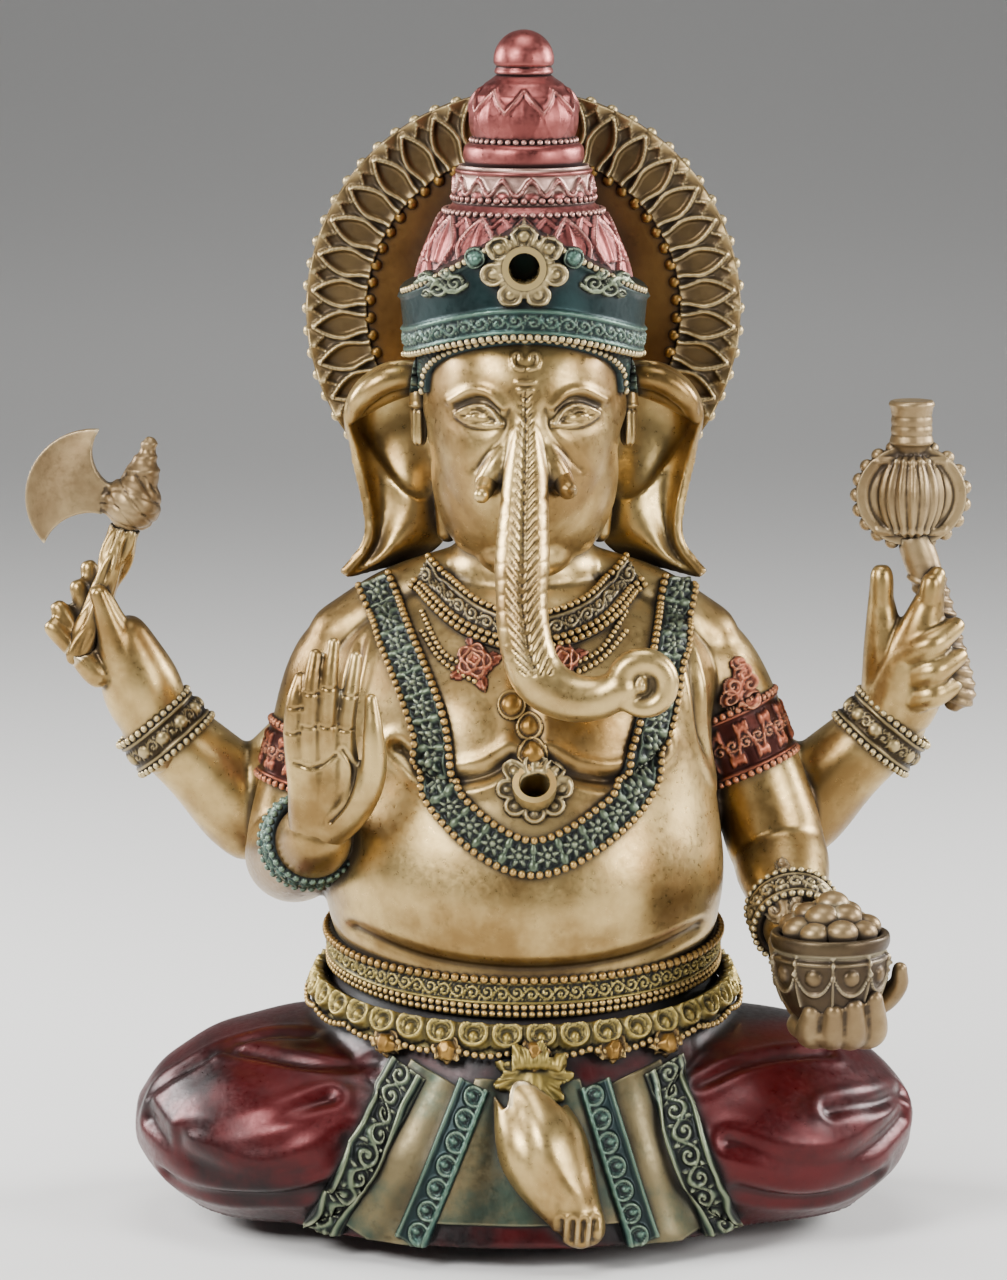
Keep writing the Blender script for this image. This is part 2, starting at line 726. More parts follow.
def wrapped(centres: Array, spokes: Array, target: BVHTree, reach: float) -> Sheet:
    """Sheet round an axis, from rays that run in along spokes.

    Args:
        centres: For each column and row, the place on the axis, shape (rows, columns, 3).
        spokes: Outward direction at each place, same shape.
        target: The surface to lie on.
        reach: Distance at which the rays start.

    Returns:
        The closed sheet.
    """
    points = np.zeros(spokes.shape)
    spokes = unit(spokes)
    for index in np.ndindex(spokes.shape[:2]):
        start = Vector(centres[index] + spokes[index] * reach)
        hit = target.ray_cast(start, Vector(-spokes[index]))
        distance = reach - hit[3] if hit[0] is not None else np.nan
        points[index] = centres[index] + spokes[index] * distance
    bad = ~np.isfinite(points[..., 0])
    if bad.any():
        radii = np.linalg.norm(points - centres, axis=-1)
        for column in range(radii.shape[1]):
            good = ~bad[:, column]
            if good.any():
                at = np.arange(len(radii))
                radii[:, column] = np.interp(at, at[good], radii[good, column], period=len(radii))
        known = np.flatnonzero(np.isfinite(radii).all(axis=0))
        nearest = known[np.abs(np.arange(radii.shape[1])[:, None] - known).argmin(axis=1)]
        radii = radii[:, nearest]
        points = np.where(bad[..., None], centres + spokes * radii[..., None], points)
    return Sheet.laid(points, spokes, True)


def turned(centre: Place, profile: Sequence[tuple[float, float]], step: float) -> Sheet:
    """Sheet of revolution about an upright axis through a place.

    Args:
        centre: Place on the axis; only x and y are used.
        profile: Radius and height from the bottom up.
        step: Size of the cells.

    Returns:
        The closed sheet.
    """
    curve = smooth_line(profile, step)
    count = int(round(FULL_TURN * curve[:, 0].max() / step / 4)) * 4
    angles = np.linspace(0, FULL_TURN, count, endpoint=False)
    spokes = np.stack([np.sin(angles), -np.cos(angles), 0 * angles], 1)
    points = spokes[:, None, :] * curve[None, :, :1]
    points[..., 0] += centre[0]
    points[..., 1] += centre[1]
    points[..., 2] = curve[None, :, 1]
    sheet = Sheet.laid(points, spokes[:, None, :] * np.ones((1, len(curve), 1)), True, even=False)
    sheet.angles = angles[:, None] * np.ones(len(curve))
    return sheet


# ------------------------------------------------------------------ relief patterns


def eased(low: float, high: float, value: Array) -> Array:
    """Smooth step from 0 to 1 between two values, either way round."""
    t = np.clip((value - low) / (high - low), 0, 1)
    return t * t * (3 - 2 * t)


def dome(distance: Array, radius: float | Array) -> Array:
    """Round boss of height 1."""
    return np.sqrt(np.clip(1 - (distance / radius) ** 2, 0, 1))


def ridge(distance: Array, width: float) -> Array:
    """Soft ridge of height 1 along a line."""
    return np.exp(-(distance / width) ** 2)


def cells(along: Array, pitch: float) -> Array:
    """Distance from the middle of the nearest repeat."""
    return np.mod(along, pitch) - pitch / 2


def fitted(length: float, pitch: float) -> float:
    """Pitch near the given one that divides a length evenly."""
    return length / max(1, round(length / pitch))


def rosettes(along: Array, across: Array, pitch: float, radius: float, petals: int = 5) -> Array:
    """Row of round flowers with cut petals, a ring and a boss, and leaves between them."""
    x = cells(along, pitch)
    r, angle = np.hypot(x, across), np.arctan2(across, x)
    lobe = radius * (0.80 + 0.20 * np.cos(petals * angle))
    flower = dome(r, lobe) * (0.72 + 0.28 * np.cos(petals * angle)) * eased(0.30, 0.48, r / radius)
    boss = dome(r, radius * 0.30)
    gap = np.mod(along, pitch)
    gap = np.minimum(gap, pitch - gap)
    leaf = dome(np.hypot(gap / 0.9, (np.abs(across) - radius * 0.62) / 1.2), radius * 0.42)
    bar = dome(np.hypot(gap / 0.55, across / 1.3), radius * 0.36)
    return np.maximum.reduce([flower, boss, 0.75 * leaf, 0.6 * bar])


def vine(along: Array, across: Array, pitch: float, width: float) -> Array:
    """Running scroll: curls on alternate sides of a waving stem, with small buds."""
    half = pitch / 2
    turn = np.where(np.mod(np.floor(along / half), 2) == 0, 1.0, -1.0)
    x, y = cells(along, half), across * turn
    reach = min(half * 0.52, width * 0.46)
    r, angle = np.hypot(x, y + reach * 0.12), np.arctan2(y + reach * 0.12, x)
    curl = 0.5 + 0.5 * np.cos(angle - FULL_TURN * r / (reach * 0.66))
    curl = curl**1.5 * eased(reach * 1.05, reach * 0.86, r)
    eye = dome(r, reach * 0.22)
    stem = ridge(y - width * 0.30 * np.cos(math.pi * x / half), width * 0.09)
    buds = dome(np.hypot(np.abs(x) - half * 0.5, y - width * 0.30), width * 0.12)
    return np.maximum.reduce([curl, eye, 0.85 * stem, 0.9 * buds])


def scallops(along: Array, across: Array, pitch: float, depth: float) -> Array:
    """Row of hanging half-rounds with a raised rim and a drop inside each."""
    x = cells(along, pitch)
    radius = pitch * 0.46
    r = np.hypot(x, (across - depth * 0.5) * radius / depth)
    rim = ridge(r - radius * 0.86, radius * 0.17)
    drop = dome(np.hypot(x, (across - depth * 0.20) * 0.8), radius * 0.36)
    inner = ridge(r - radius * 0.55, radius * 0.10) * 0.5
    return np.maximum.reduce([rim, drop * 0.9, inner])


def lotus(angle: Array, share: Array, count: int, keeled: bool = True) -> Array:
    """Ring of pointed petals, each with a raised edge and a keel.

    Args:
        angle: Angle at each place, in radians.
        share: 0 at the petals' roots and 1 at their tips.
        count: Petals in the ring.
        keeled: Each petal has a ridge down its middle and a second inner line.

    Returns:
        Height from 0 to 1.
    """
    turn = angle * count / FULL_TURN

    def petal(x: Array, tip: float) -> tuple[Array, Array]:
        reach = np.clip(share / tip, 0, 1)
        outline = 0.72 + 0.24 * eased(0.0, 0.4, reach)
        outline = outline * np.clip(1 - np.clip((reach - 0.38) / 0.62, 0, 1) ** 1.7, 0, 1)
        return outline - x, reach

    inside, reach = petal(np.abs(cells(turn, 1.0)) * 2, 0.98)
    rim = ridge(inside - 0.12, 0.13 if keeled else 0.19) * (reach < 1)
    second = 0.45 * ridge(inside - 0.36, 0.09) * keeled
    keel = 0.42 * keeled * ridge(np.abs(cells(turn, 1.0)) * 2, 0.12) * eased(0.10, 0.35, inside)
    behind, back_reach = petal(np.abs(cells(turn + 0.5, 1.0)) * 2, 1.0)
    back = 0.55 * ridge(behind - 0.10, 0.14) * (inside < 0.0) * (back_reach > 0.45)
    body = (0.30 if keeled else 0.10) * eased(-0.02, 0.06, inside)
    return np.maximum.reduce([rim, second, keel + body, back, 0.12 * (inside < 0)])


# ------------------------------------------------------------------ beads


def bead_template(rings: int = 2) -> tuple[Array, list[tuple[int, ...]]]:
    """Round bead of radius 1, read once and copied."""
    bpy.ops.object.select_all(action="DESELECT")
    bpy.ops.mesh.primitive_ico_sphere_add(subdivisions=rings, radius=1.0)
    ball = bpy.context.active_object
    points = places(ball) * MM
    faces = [tuple(face.vertices) for face in ball.data.polygons]
    bpy.data.objects.remove(ball)
    return points, faces


def beads(name: str, centres: Array, radius: float | Array, squash: Array | None = None,
          rings: int = 2) -> Piece:
    """Many round beads as one piece.

    Args:
        name: Name of the piece.
        centres: Places of the beads.
        radius: One radius for all or one for each bead.
        squash: Factors along X, Y and Z, where the beads aren't round.
        rings: Divisions of the template.

    Returns:
        The piece.
    """
    shape, faces = bead_template(rings)
    shape = shape * (1.0 if squash is None else squash)
    radii = np.broadcast_to(radius, (len(centres),))
    points = (shape[None] * radii[:, None, None] + np.asarray(centres)[:, None]).reshape(-1, 3)
    table = np.asarray(faces)
    every = (table[None] + (np.arange(len(centres)) * len(shape))[:, None, None]).reshape(-1, 3)
    return made_mesh(name, points, every.tolist())


def strung(line: Array, pitch: float, closed: bool = False) -> Array:
    """Bead places at an even pitch along a line."""
    if closed:
        line = np.vstack([line, line[:1]])
        return even_steps(line, pitch)[:-1]
    return even_steps(line, pitch)


# ------------------------------------------------------------------ clay work


class Clay:
    """A piece's skin while it is being worked: pushes, creases and swellings."""

    def __init__(self, piece: Piece) -> None:
        """Take up a piece."""
        self.piece = piece
        self.points = places(piece)
        self.normals = outward(piece)

    def settle(self, smoothing: int = 0) -> None:
        """Write the places back and read the normals again."""
        put_places(self.piece, self.points)
        if smoothing:
            applied(self.piece, "SMOOTH", factor=0.5, iterations=smoothing)
            self.points = places(self.piece)
        self.normals = outward(self.piece)

    def span(self, line: Sequence[Place], flat: bool = False) -> Array:
        """Distance of every place from a line.

        Args:
            line: Places (x, y, z), or (x, z) for a line seen from the front.
            flat: Measure in the front view, and only where the skin faces the front.

        Returns:
            The distances.
        """
        curve = smooth_line(line, 0.8) if len(line) > 1 else np.asarray(line, float)
        here = self.points[:, [0, 2]] if flat else self.points
        low, high = curve.min(0) - 8, curve.max(0) + 8
        near = np.all((here > low) & (here < high), axis=1)
        if flat:
            near &= self.normals[:, 1] < FACING_FRONT
        result = np.full(len(here), FAR)
        block = here[near]
        if len(block) == 0:
            return result
        if len(curve) == 1:
            result[near] = np.linalg.norm(block - curve[0], axis=1)
            return result
        best = np.full(len(block), FAR)
        for a, b in zip(curve, curve[1:]):
            run = b - a
            t = np.clip((block - a) @ run / (run @ run), 0, 1)
            best = np.minimum(best, np.linalg.norm(block - a - t[:, None] * run, axis=1))
        result[near] = best
        return result

    def push(self, weight: Array, amount: float) -> None:
        """Move the skin out along its normals, or in where the amount is negative."""
        self.points += self.normals * (weight * amount)[:, None]

    def crease(self, line: Sequence[Place], width: float, depth: float, flat: bool = False,
               lips: float = 0.35) -> None:
        """Press a line in, with soft lips raised on both sides.

        Args:
            line: The line.
            width: Half width of the crease.
            depth: Depth; negative raises a ridge.
            flat: The line is seen from the front.
            lips: Height of the lips, as a share of the depth.
        """
        away = self.span(line, flat)
        self.push(ridge(away, width), -depth)
        self.push(ridge(away - 2.2 * width, width), depth * lips)

    def etch(self, line: Sequence[Place], width: float, depth: float) -> None:
        """Cut a line seen from the front, without lips; a negative depth raises it."""
        self.crease(line, width, depth, flat=True, lips=0.0)

    def swell(self, centre: Place, size: float | Place, amount: float, flat: bool = False) -> None:
        """Raise a soft mound, or press a hollow where the amount is negative.

        Args:
            centre: Place (x, y, z), or (x, z) seen from the front.
            size: Half width, one for all or one for each axis.
            amount: Height.
            flat: The mound is seen from the front.
        """
        here = self.points[:, [0, 2]] if flat else self.points
        away = np.linalg.norm((here - np.asarray(centre, float)) / np.asarray(size, float), axis=1)
        weight = np.exp(-away**2)
        if flat:
            weight = weight * (self.normals[:, 1] < FACING_FRONT)
        self.push(weight, amount)


def ornament(name: str, centre: tuple[float, float], half: tuple[float, float], target: BVHTree,
             pattern: Pattern, lift: float = 0.0, step: float = 0.25) -> Piece:
    """Raised ornament with an outline of its own, laid on a surface from the front.

    Args:
        name: Name of the piece.
        centre: Place (x, z) of its middle.
        half: Half width and half height.
        target: The surface that it lies on.
        pattern: Height from the distances off the middle; below zero is outside the outline.
        lift: Height of its ground above the surface.
        step: Size of its cells.

    Returns:
        The closed piece.
    """
    across = np.linspace(-half[0], half[0], int(2 * half[0] / step) + 1)
    upward = np.linspace(-half[1], half[1], int(2 * half[1] / step) + 1)
    x, z = np.meshgrid(across, upward, indexing="ij")
    sheet = Sheet.laid(front_places(x + centre[0], z + centre[1], target), FRONT)
    height = pattern(x, z)
    return sheet.relief(name, np.where(height > 0, lift + height, -0.3), sink=0.9, keep=height > 0)


def flower(petals: int, ring: float, petal: float, hole: float) -> Pattern:
    """Flower of round petals drawn with double loops, about an open or closed middle.

    Args:
        petals: Number of petals.
        ring: Radius of the ring on which the petals' middles lie.
        petal: Radius of a petal.
        hole: Radius of the open middle.

    Returns:
        The height pattern.
    """

    def pattern(x: Array, z: Array) -> Array:
        height = np.full(x.shape, OUTSIDE)
        r = np.hypot(x, z)
        height = np.where(r < ring, 0.7, height)
        for k in range(petals):
            angle = math.pi / 2 + FULL_TURN * k / petals
            away = np.hypot(x - ring * math.cos(angle), z - ring * math.sin(angle))
            loop = 0.5 + 0.8 * ridge(away - petal * 0.80, petal * 0.17) + 0.6 * dome(away,
                                                                                     petal * 0.42)
            height = np.where(away < petal, np.maximum(height, loop), height)
        rim = 0.7 + 0.9 * ridge(r - hole - 0.5, 0.42)
        height = np.where(r < hole + 1.2, np.maximum(height, rim), height)
        return np.where(r < hole, -1.0, height)

    return pattern


def curled(half_width: float, height: float) -> Pattern:
    """Upright crest of paired curls that ends in one tall curling tip."""

    def pattern(x: Array, z: Array) -> Array:
        rise = np.full(x.shape, OUTSIDE)
        curls = ((-0.52, -0.58, 0.44, 1.0), (0.52, -0.58, 0.44, -1.0), (-0.40, -0.10, 0.40, -1.0),
                 (0.42, -0.06, 0.40, 1.0), (0.10, 0.34, 0.40, 1.0), (-0.12, 0.72, 0.30, -1.0))
        for at_x, at_z, size, turn in curls:
            radius = size * half_width * 1.15
            dx, dz = x - at_x * half_width, z - at_z * height / 2
            r, angle = np.hypot(dx, dz), np.arctan2(dz * turn, dx)
            coil = 0.5 + 0.5 * np.cos(angle - FULL_TURN * r / (radius * 0.7))
            rise = np.where(r < radius, np.maximum(rise, 0.5 + 0.8 * coil), rise)
        stem = (np.abs(x - 0.1 * half_width * np.sin(z)) < 0.6) & (np.abs(z) < height * 0.45)
        return np.where(stem, np.maximum(rise, 1.0), rise)

    return pattern


def scrollwork(half_width: float, half_height: float, mirror: float = 1.0) -> Pattern:
    """Spray of three curling leaves that runs sideways from a stem."""

    def pattern(x: Array, z: Array) -> Array:
        u = x * mirror
        height = np.full(x.shape, OUTSIDE)
        curls = ((-0.50, 0.15, 0.48, 1.0), (0.12, -0.15, 0.50, -1.0), (0.62, 0.25, 0.36, 1.0),
                 (-0.15, 0.62, 0.30, -1.0), (0.55, -0.50, 0.28, 1.0))
        for at_x, at_z, size, turn in curls:
            radius = size * half_height
            dx, dz = u - at_x * half_width, z - at_z * half_height
            r, angle = np.hypot(dx, dz), np.arctan2(dz * turn, dx)
            coil = 0.5 + 0.5 * np.cos(angle - FULL_TURN * r / (radius * 0.62))
            shape = 0.25 + 0.75 * coil**1.3
            height = np.where(r < radius, np.maximum(height, shape), height)
        stem = np.abs(z - half_height * 0.32 * np.sin(u / half_width * 3.6)) < 0.45
        return np.where(stem & (np.abs(u) < half_width * 0.95), np.maximum(height, 0.85), height)

    return pattern


# ------------------------------------------------------------------ seat


@dataclass
class Seat:
    """Crossed legs under their cloth, the hanging sashes and the tucked foot."""

    cell: float = 0.7
    folds: tuple = (
        (((-66, -24, 17), (-57, -36, 12.5), (-42, -42, 11.5), (-31, -43, 17)), 1.5, 1.3),
        (((-63.6, -26.8, 7.2), (-47.5, -40.1, 6.2), (-33, -44.5, 9)), 1.3, 1.1),
        (((-64.7, -22, 20.3), (-57.6, -24, 27.3), (-47.1, -22, 31.6), (-38, -24, 32)), 1.4, 1.0),
        (((-52, -25, 29.3), (-39.5, -32.4, 28.7), (-26, -36, 30)), 1.2, 1.1),
        (((-60, -34, 16), (-46, -40, 19), (-34, -40, 24)), 1.3, 0.8),
        (((68, -22, 17), (60, -34, 13.5), (48, -41, 13), (36, -44, 17)), 1.5, 1.2),
        (((63.2, -28.7, 7.3), (48.6, -39, 5.4), (37, -44.6, 8)), 1.3, 1.1),
        (((30.9, -38.7, 27), (41.7, -31.5, 29.5), (54, -25, 29)), 1.2, 1.0),
        (((53.8, -37.3, 21.2), (63.3, -27, 20.2), (68, -18, 20)), 1.3, 0.9),
        (((-62, 8, 22), (-48, 20, 22), (-36, 26, 28)), 1.6, 1.1),
        (((62, 8, 22), (48, 20, 22), (36, 26, 28)), 1.6, 1.1),
        (((-60, 12, 10), (-46, 24, 10), (-33, 30, 14)), 1.5, 1.0),
        (((60, 12, 10), (46, 24, 10), (33, 30, 14)), 1.5, 1.0),
    )
    # side, outer border top and foot, inner border top and foot, along X
    sashes: tuple = ((-1, 20.0, 35.5, 8.5, 19.5), (1, 24.0, 34.8, 12.0, 20.5))
    sash_top: float = 29.0
    outer_width: float = 7.0
    inner_width: float = 5.6

    def build(self) -> None:
        """Make all pieces of the seat."""
        cloth = casting("seat_cloth", ("lap_casting", "right_leg", "left_leg"), self.cell, 5)
        clay = Clay(cloth)
        for line, width, depth in self.folds:
            clay.crease(line, width, depth)
        ripple = np.sin(clay.points[:, 0] * 0.35 + clay.points[:, 2] * 0.5)
        clay.push(ripple * (np.abs(clay.points[:, 0]) > 30), 0.12)
        clay.settle(3)
        clay.points[:, 2] = np.where(clay.points[:, 2] < 0.35, 0.0, clay.points[:, 2])
        clay.settle()
        dressed(cloth, CLOTH_RED, Slot.RED_CLOTH, "lap_casting", "right_leg", "left_leg")
        ground = surface(cloth)
        self.hang_sashes(ground)
        self.shape_foot()

    def hang_sashes(self, ground: BVHTree) -> None:
        """Hang the cloth panels and their carved borders down the front."""
        low = 0.25
        for side, outer_top, outer_foot, inner_top, inner_foot in self.sashes:
            word = "right" if side < 0 else "left"
            middle_line = [(side * (outer_top + inner_top) / 2, self.sash_top - 1.0),
                           (side * (outer_top + outer_foot + inner_top + inner_foot) / 4, 14.0),
                           (side * (outer_foot + inner_foot) / 2, low)]
            cloth = front_strip(middle_line, (outer_top - inner_top, outer_foot - inner_foot),
                                ground)
            share = cloth.across / np.maximum(np.ptp(cloth.across, axis=1, keepdims=True), TINY)
            height = 0.9 + 0.28 * np.cos(share * 10
                                         + 0.05 * cloth.along) + 0.1 * np.sin(cloth.along * 0.5)
            dressed(cloth.relief(f"{word}_sash_cloth", height), CLOTH_GREEN, Slot.GREEN_CLOTH,
                    f"{word}_sash_panel")
            outer = front_strip([(side * outer_top, self.sash_top), (side * outer_foot, low)],
                                self.outer_width, ground, step=0.25)
            edge = ridge(np.abs(outer.across) - self.outer_width * 0.44, 0.45)
            pattern = vine(outer.along, outer.across, 7.6, self.outer_width * 0.8)
            piece = outer.relief(f"{word}_sash_outer_border", 1.5 + 0.9 * np.maximum(pattern, edge))
            dressed(piece, TEAL, Slot.GREEN_CLOTH, f"{word}_sash_borders")
            inner = front_strip([(side * inner_top, self.sash_top - 2), (side * inner_foot, low)],
                                self.inner_width, ground, step=0.25)
            turn = inner.across * (1 if side < 0 else -1)
            loops = scallops(inner.along, turn, 4.2, 1.9)
            edge = ridge(np.abs(inner.across) - self.inner_width * 0.43, 0.4)
            piece = inner.relief(f"{word}_sash_inner_border", 1.4 + 0.9 * np.maximum(loops, edge))
            dressed(piece, TEAL_PLAIN, Slot.GREEN_CLOTH, f"{word}_sash_borders")
        fall = front_strip([(0.6, 28.0), (0.6, 14.0), (0.6, 3.9)], (18.0, 26.0, 37.0), ground)
        share = fall.across / np.maximum(np.ptp(fall.across, axis=1, keepdims=True), TINY)
        height = 0.6 + 0.25 * np.cos(share * 17 + 0.8) + 0.5 * eased(0.2, 0.5, np.abs(share))
        dressed(fall.relief("middle_cloth", height), CLOTH_GREEN, Slot.GREEN_CLOTH)

    def shape_foot(self) -> None:
        """Shape the tucked foot with its toes."""
        foot = casting("foot", ("tucked_foot",), 0.4, 6)
        clay = Clay(foot)
        low, _ = low_high("tucked_foot")
        for share in range(4):
            x = 6.2 + share * 1.9
            clay.crease([(x, 2.4), (x + 0.3, 6.0)], 0.45, 0.7, flat=True)
        clay.swell((3.0, 17.0), (5.0, 8.0), 0.8, flat=True)
        clay.swell((8.5, 11.0), (4.0, 3.0), 0.7, flat=True)
        clay.crease([(-1.5, 24.0), (1.5, 16.0), (5.5, 9.0)], 1.6, 0.5, flat=True)
        clay.settle(2)
        clay.points[:, 2] = np.maximum(clay.points[:, 2], low[2])
        clay.settle()
        dressed(foot, GOLD_SKIN, Slot.GOLD, "tucked_foot")


# ------------------------------------------------------------------ body


@dataclass
class Body:
    """Belly, chest, neck and the four arms, cast in one, with the chest ornaments."""

    cell: float = 0.55
    garland_line: tuple = ((-26.3, 110.2), (-17.0, 90.4), (-13.5, 76.0), (1.2, 66.6), (17.0, 74.6),
                           (22.2, 86.8), (27.6, 110.2))
    garland_width: float = 6.8
    collar_line: tuple = ((-18.2, 112.2), (-9.0, 106.0), (1.0, 103.8), (11.5, 106.2), (19.6, 112.2))
    collar_width: float = 6.4
    flower_spots: tuple = ((-8.6, 99.0), (6.4, 99.4))
    pendant: tuple = (1.8, 78.2)
    studs: tuple = ((-2.2, 92.2, 2.2), (0.9, 88.6, 2.2), (1.5, 84.3, 2.4))
    skin: BVHTree = field(init=False, default=None)

    def build(self) -> None:
        """Make the body and hang its ornaments."""
        nodes = ("torso_casting", "neck", "right_front_arm", "left_front_arm",
                 "right_rear_arm", "left_rear_arm")
        clay_added = [lump((0, -4, 113), (14.5, 13.5, 8)), lump((0, -1, 104), (25, 13, 8))]
        for side in (-1, 1):
            clay_added.append(roll([(side * 10, -3, 110), (side * 22, -1, 105.5),
                                    (side * 32.0, 0.5, 99.5)], (7.5, 7.6, 7.2)))
            clay_added.append(roll([(side * 24, 8, 100), (side * 33, 6, 95)], (8, 8)))
        body = casting("body", nodes, self.cell, 10, extra=clay_added)
        clay = Clay(body)
        self.model(clay)
        clay.settle(3)
        dressed(body, GOLD_SKIN, Slot.GOLD, *nodes)
        self.skin = surface(body)
        self.hang_garland()
        self.set_collar()
        self.set_pendant()

    def model(self, clay: Clay) -> None:
        """Work the chest, the belly and the arms."""
        for side in (-1, 1):
            clay.swell((side * 14.0 + 1, -30, 90), (11, 12, 8), 1.6)
            clay.crease([(1 + side * 3.2, 83.3), (1 + side * 8.5, 80.4), (1 + side * 16.5, 79.6),
                         (1 + side * 23, 84.0)], 1.1, 1.3, flat=True)
            clay.swell((side * 24.0, 62.0), (12, 9), 0.9, flat=True)
            clay.crease([(side * 29.5, -13, 103), (side * 30.5, -16.5, 95), (side * 30.8, -16, 84),
                         (side * 31.5, -12, 76)], 1.2, 1.5)
            clay.crease([(side * 28, 12, 98), (side * 30, 15, 88), (side * 31, 12, 76)], 1.2, 1.2)
        clay.crease([(1.0, 103), (0.8, 94), (1.0, 84)], 1.6, 0.6, flat=True)
        clay.swell((1.0, 54.0), (24, 8), 1.2, flat=True)
        clay.crease([(-30, 51.0), (-16, 47.5), (1.0, 46.3), (18, 47.5), (31, 51.0)], 1.2, 0.8,
                    flat=True)
        clay.crease([(0, 24, 108), (0, 22, 86), (0, 23, 60)], 2.4, 1.2)

    def hang_garland(self) -> None:
        """Lay the flowered garland band with its two bead rows."""
        band = front_strip(self.garland_line, self.garland_width, self.skin, step=0.26)
        pitch = fitted(band.length, 5.0)
        inner = self.garland_width * 0.30
        height = 1.0 + 0.9 * rosettes(band.along, band.across, pitch, inner * 1.08, 7) * eased(
            self.garland_width * 0.37, self.garland_width * 0.33, np.abs(band.across))
        height = height + 0.35 * ridge(np.abs(band.across) - self.garland_width * 0.36, 0.3)
        dressed(band.relief("garland", height), TEAL, Slot.GREEN, "garland_band")
        rows = [strung(band.line(share, 1.25), 1.55) for share in (0.065, 0.935)]
        dressed(beads("garland_beads", np.vstack(rows), 0.72), GOLD_BEAD, Slot.BRONZE)

    def set_collar(self) -> None:
        """Lay the collar, its bead rows, the bead strings and the two breast flowers."""
        band = front_strip(self.collar_line, self.collar_width, self.skin, step=0.26)
        vines = vine(band.along, band.across - 0.2, fitted(band.length, 6.4), 3.0)
        vines = vines * eased(1.9, 1.6, np.abs(band.across - 0.2))
        height = 0.9 + 0.8 * vines + 0.5 * ridge(np.abs(band.across - 0.2) - 1.9, 0.28)
        dressed(band.relief("collar_band", height), BRONZE, Slot.BRONZE, "collar")
        rows = [strung(band.line(share, lift), 1.4)
                for share, lift in ((0.07, 1.1), (0.24, 1.25), (0.93, 1.1))]
        dressed(beads("collar_beads", np.vstack(rows), 0.66), GOLD_BEAD, Slot.BRONZE)
        threads = []
        for (x, z), side in zip(self.flower_spots, (-1, 1)):
            for drop in (1.8, 4.8):
                start = (side * 18.0, 108.4 - drop)
                sag = ((start[0] + x) / 2 + side * 1.0, (start[1] + z) / 2 - 2.2)
                curve = smooth_line([start, sag, (x, z - drop * 0.6)], 0.4)
                lying = front_places(curve[:, :1], curve[:, 1:], self.skin)[:, 0]
                threads.append(strung(lying + np.array((0, -0.35, 0)), 1.2))
        dressed(beads("bead_strands", np.vstack(threads), 0.58), GOLD_BEAD, Slot.BRONZE,
                "bead_strings")
        for (x, z), word in zip(self.flower_spots, ("right", "left")):
            def peony(dx: Array, dz: Array) -> Array:
                r, angle = np.hypot(dx, dz * 1.08), np.arctan2(dz, dx)
                whorls = [(3.1, 5, 0.0), (2.2, 5, 0.6), (1.3, 4, 0.2)]
                height = np.where(r < 3.2 + 0.25 * np.cos(5 * angle), 0.6, OUTSIDE)
                for size, petals, turn in whorls:
                    edge = size * (0.92 + 0.10 * np.cos(petals * (angle - turn)))
                    height = np.where(r < edge, 0.9 + (3.1 - size) * 0.3 + 0.5 * ridge(
                        edge - r - 0.25, 0.3), height)
                for tilt in (-2.6, -1.2, 0.2, 1.7):
                    along = dx * math.cos(tilt) + dz * math.sin(tilt)
                    aside = np.abs(-dx * math.sin(tilt) + dz * math.cos(tilt))
                    leaf = (along > 2.2) & (aside < 1.2 * np.sin(np.clip((along - 1.6) / 3.4, 0, 1)
                                                                 * math.pi))
                    height = np.where(leaf & (height < 0), 0.5 + 0.4 * ridge(aside, 0.3), height)
                return height
            piece = ornament(f"{word}_breast_flower", (x, z), (5.2, 5.0), self.skin, peony,
                             step=0.2)
            dressed(piece, RED_COPPER, Slot.COPPER, "breast_flowers")

    def set_pendant(self) -> None:
        """Set the two studs and the pendant flower about the lower outlet."""
        for number, (x, z, radius) in enumerate(self.studs):
            def stud(dx: Array, dz: Array, size: float = radius) -> Array:
                r = np.hypot(dx, dz)
                return np.where(r < size * 1.12, 0.4 + 0.45 * ridge(r - size, 0.25)
                                + 1.3 * dome(r, size * 0.78), OUTSIDE)
            piece = ornament(f"pendant_stud_{number + 1}", (x, z), (3.0, 3.0), self.skin, stud,
                             step=0.2)
            dressed(piece, GOLD_BEAD, Slot.BRONZE, "pendant_studs")
        low, high = low_high("pendant_vent_sleeve")
        centre = (float(low[0] + high[0]) / 2, self.pendant[1])
        petals = flower(8, 4.7, 2.1, 3.4)
        piece = ornament("pendant_petals", centre, (7.2, 6.4), self.skin,
                         lambda x, z: petals(x, z / 0.87), step=0.2)
        dressed(piece, BRONZE, Slot.BRONZE, "pendant_flower")
        kept_node("pendant_vent_sleeve", BRASS)


# ------------------------------------------------------------------ girdle


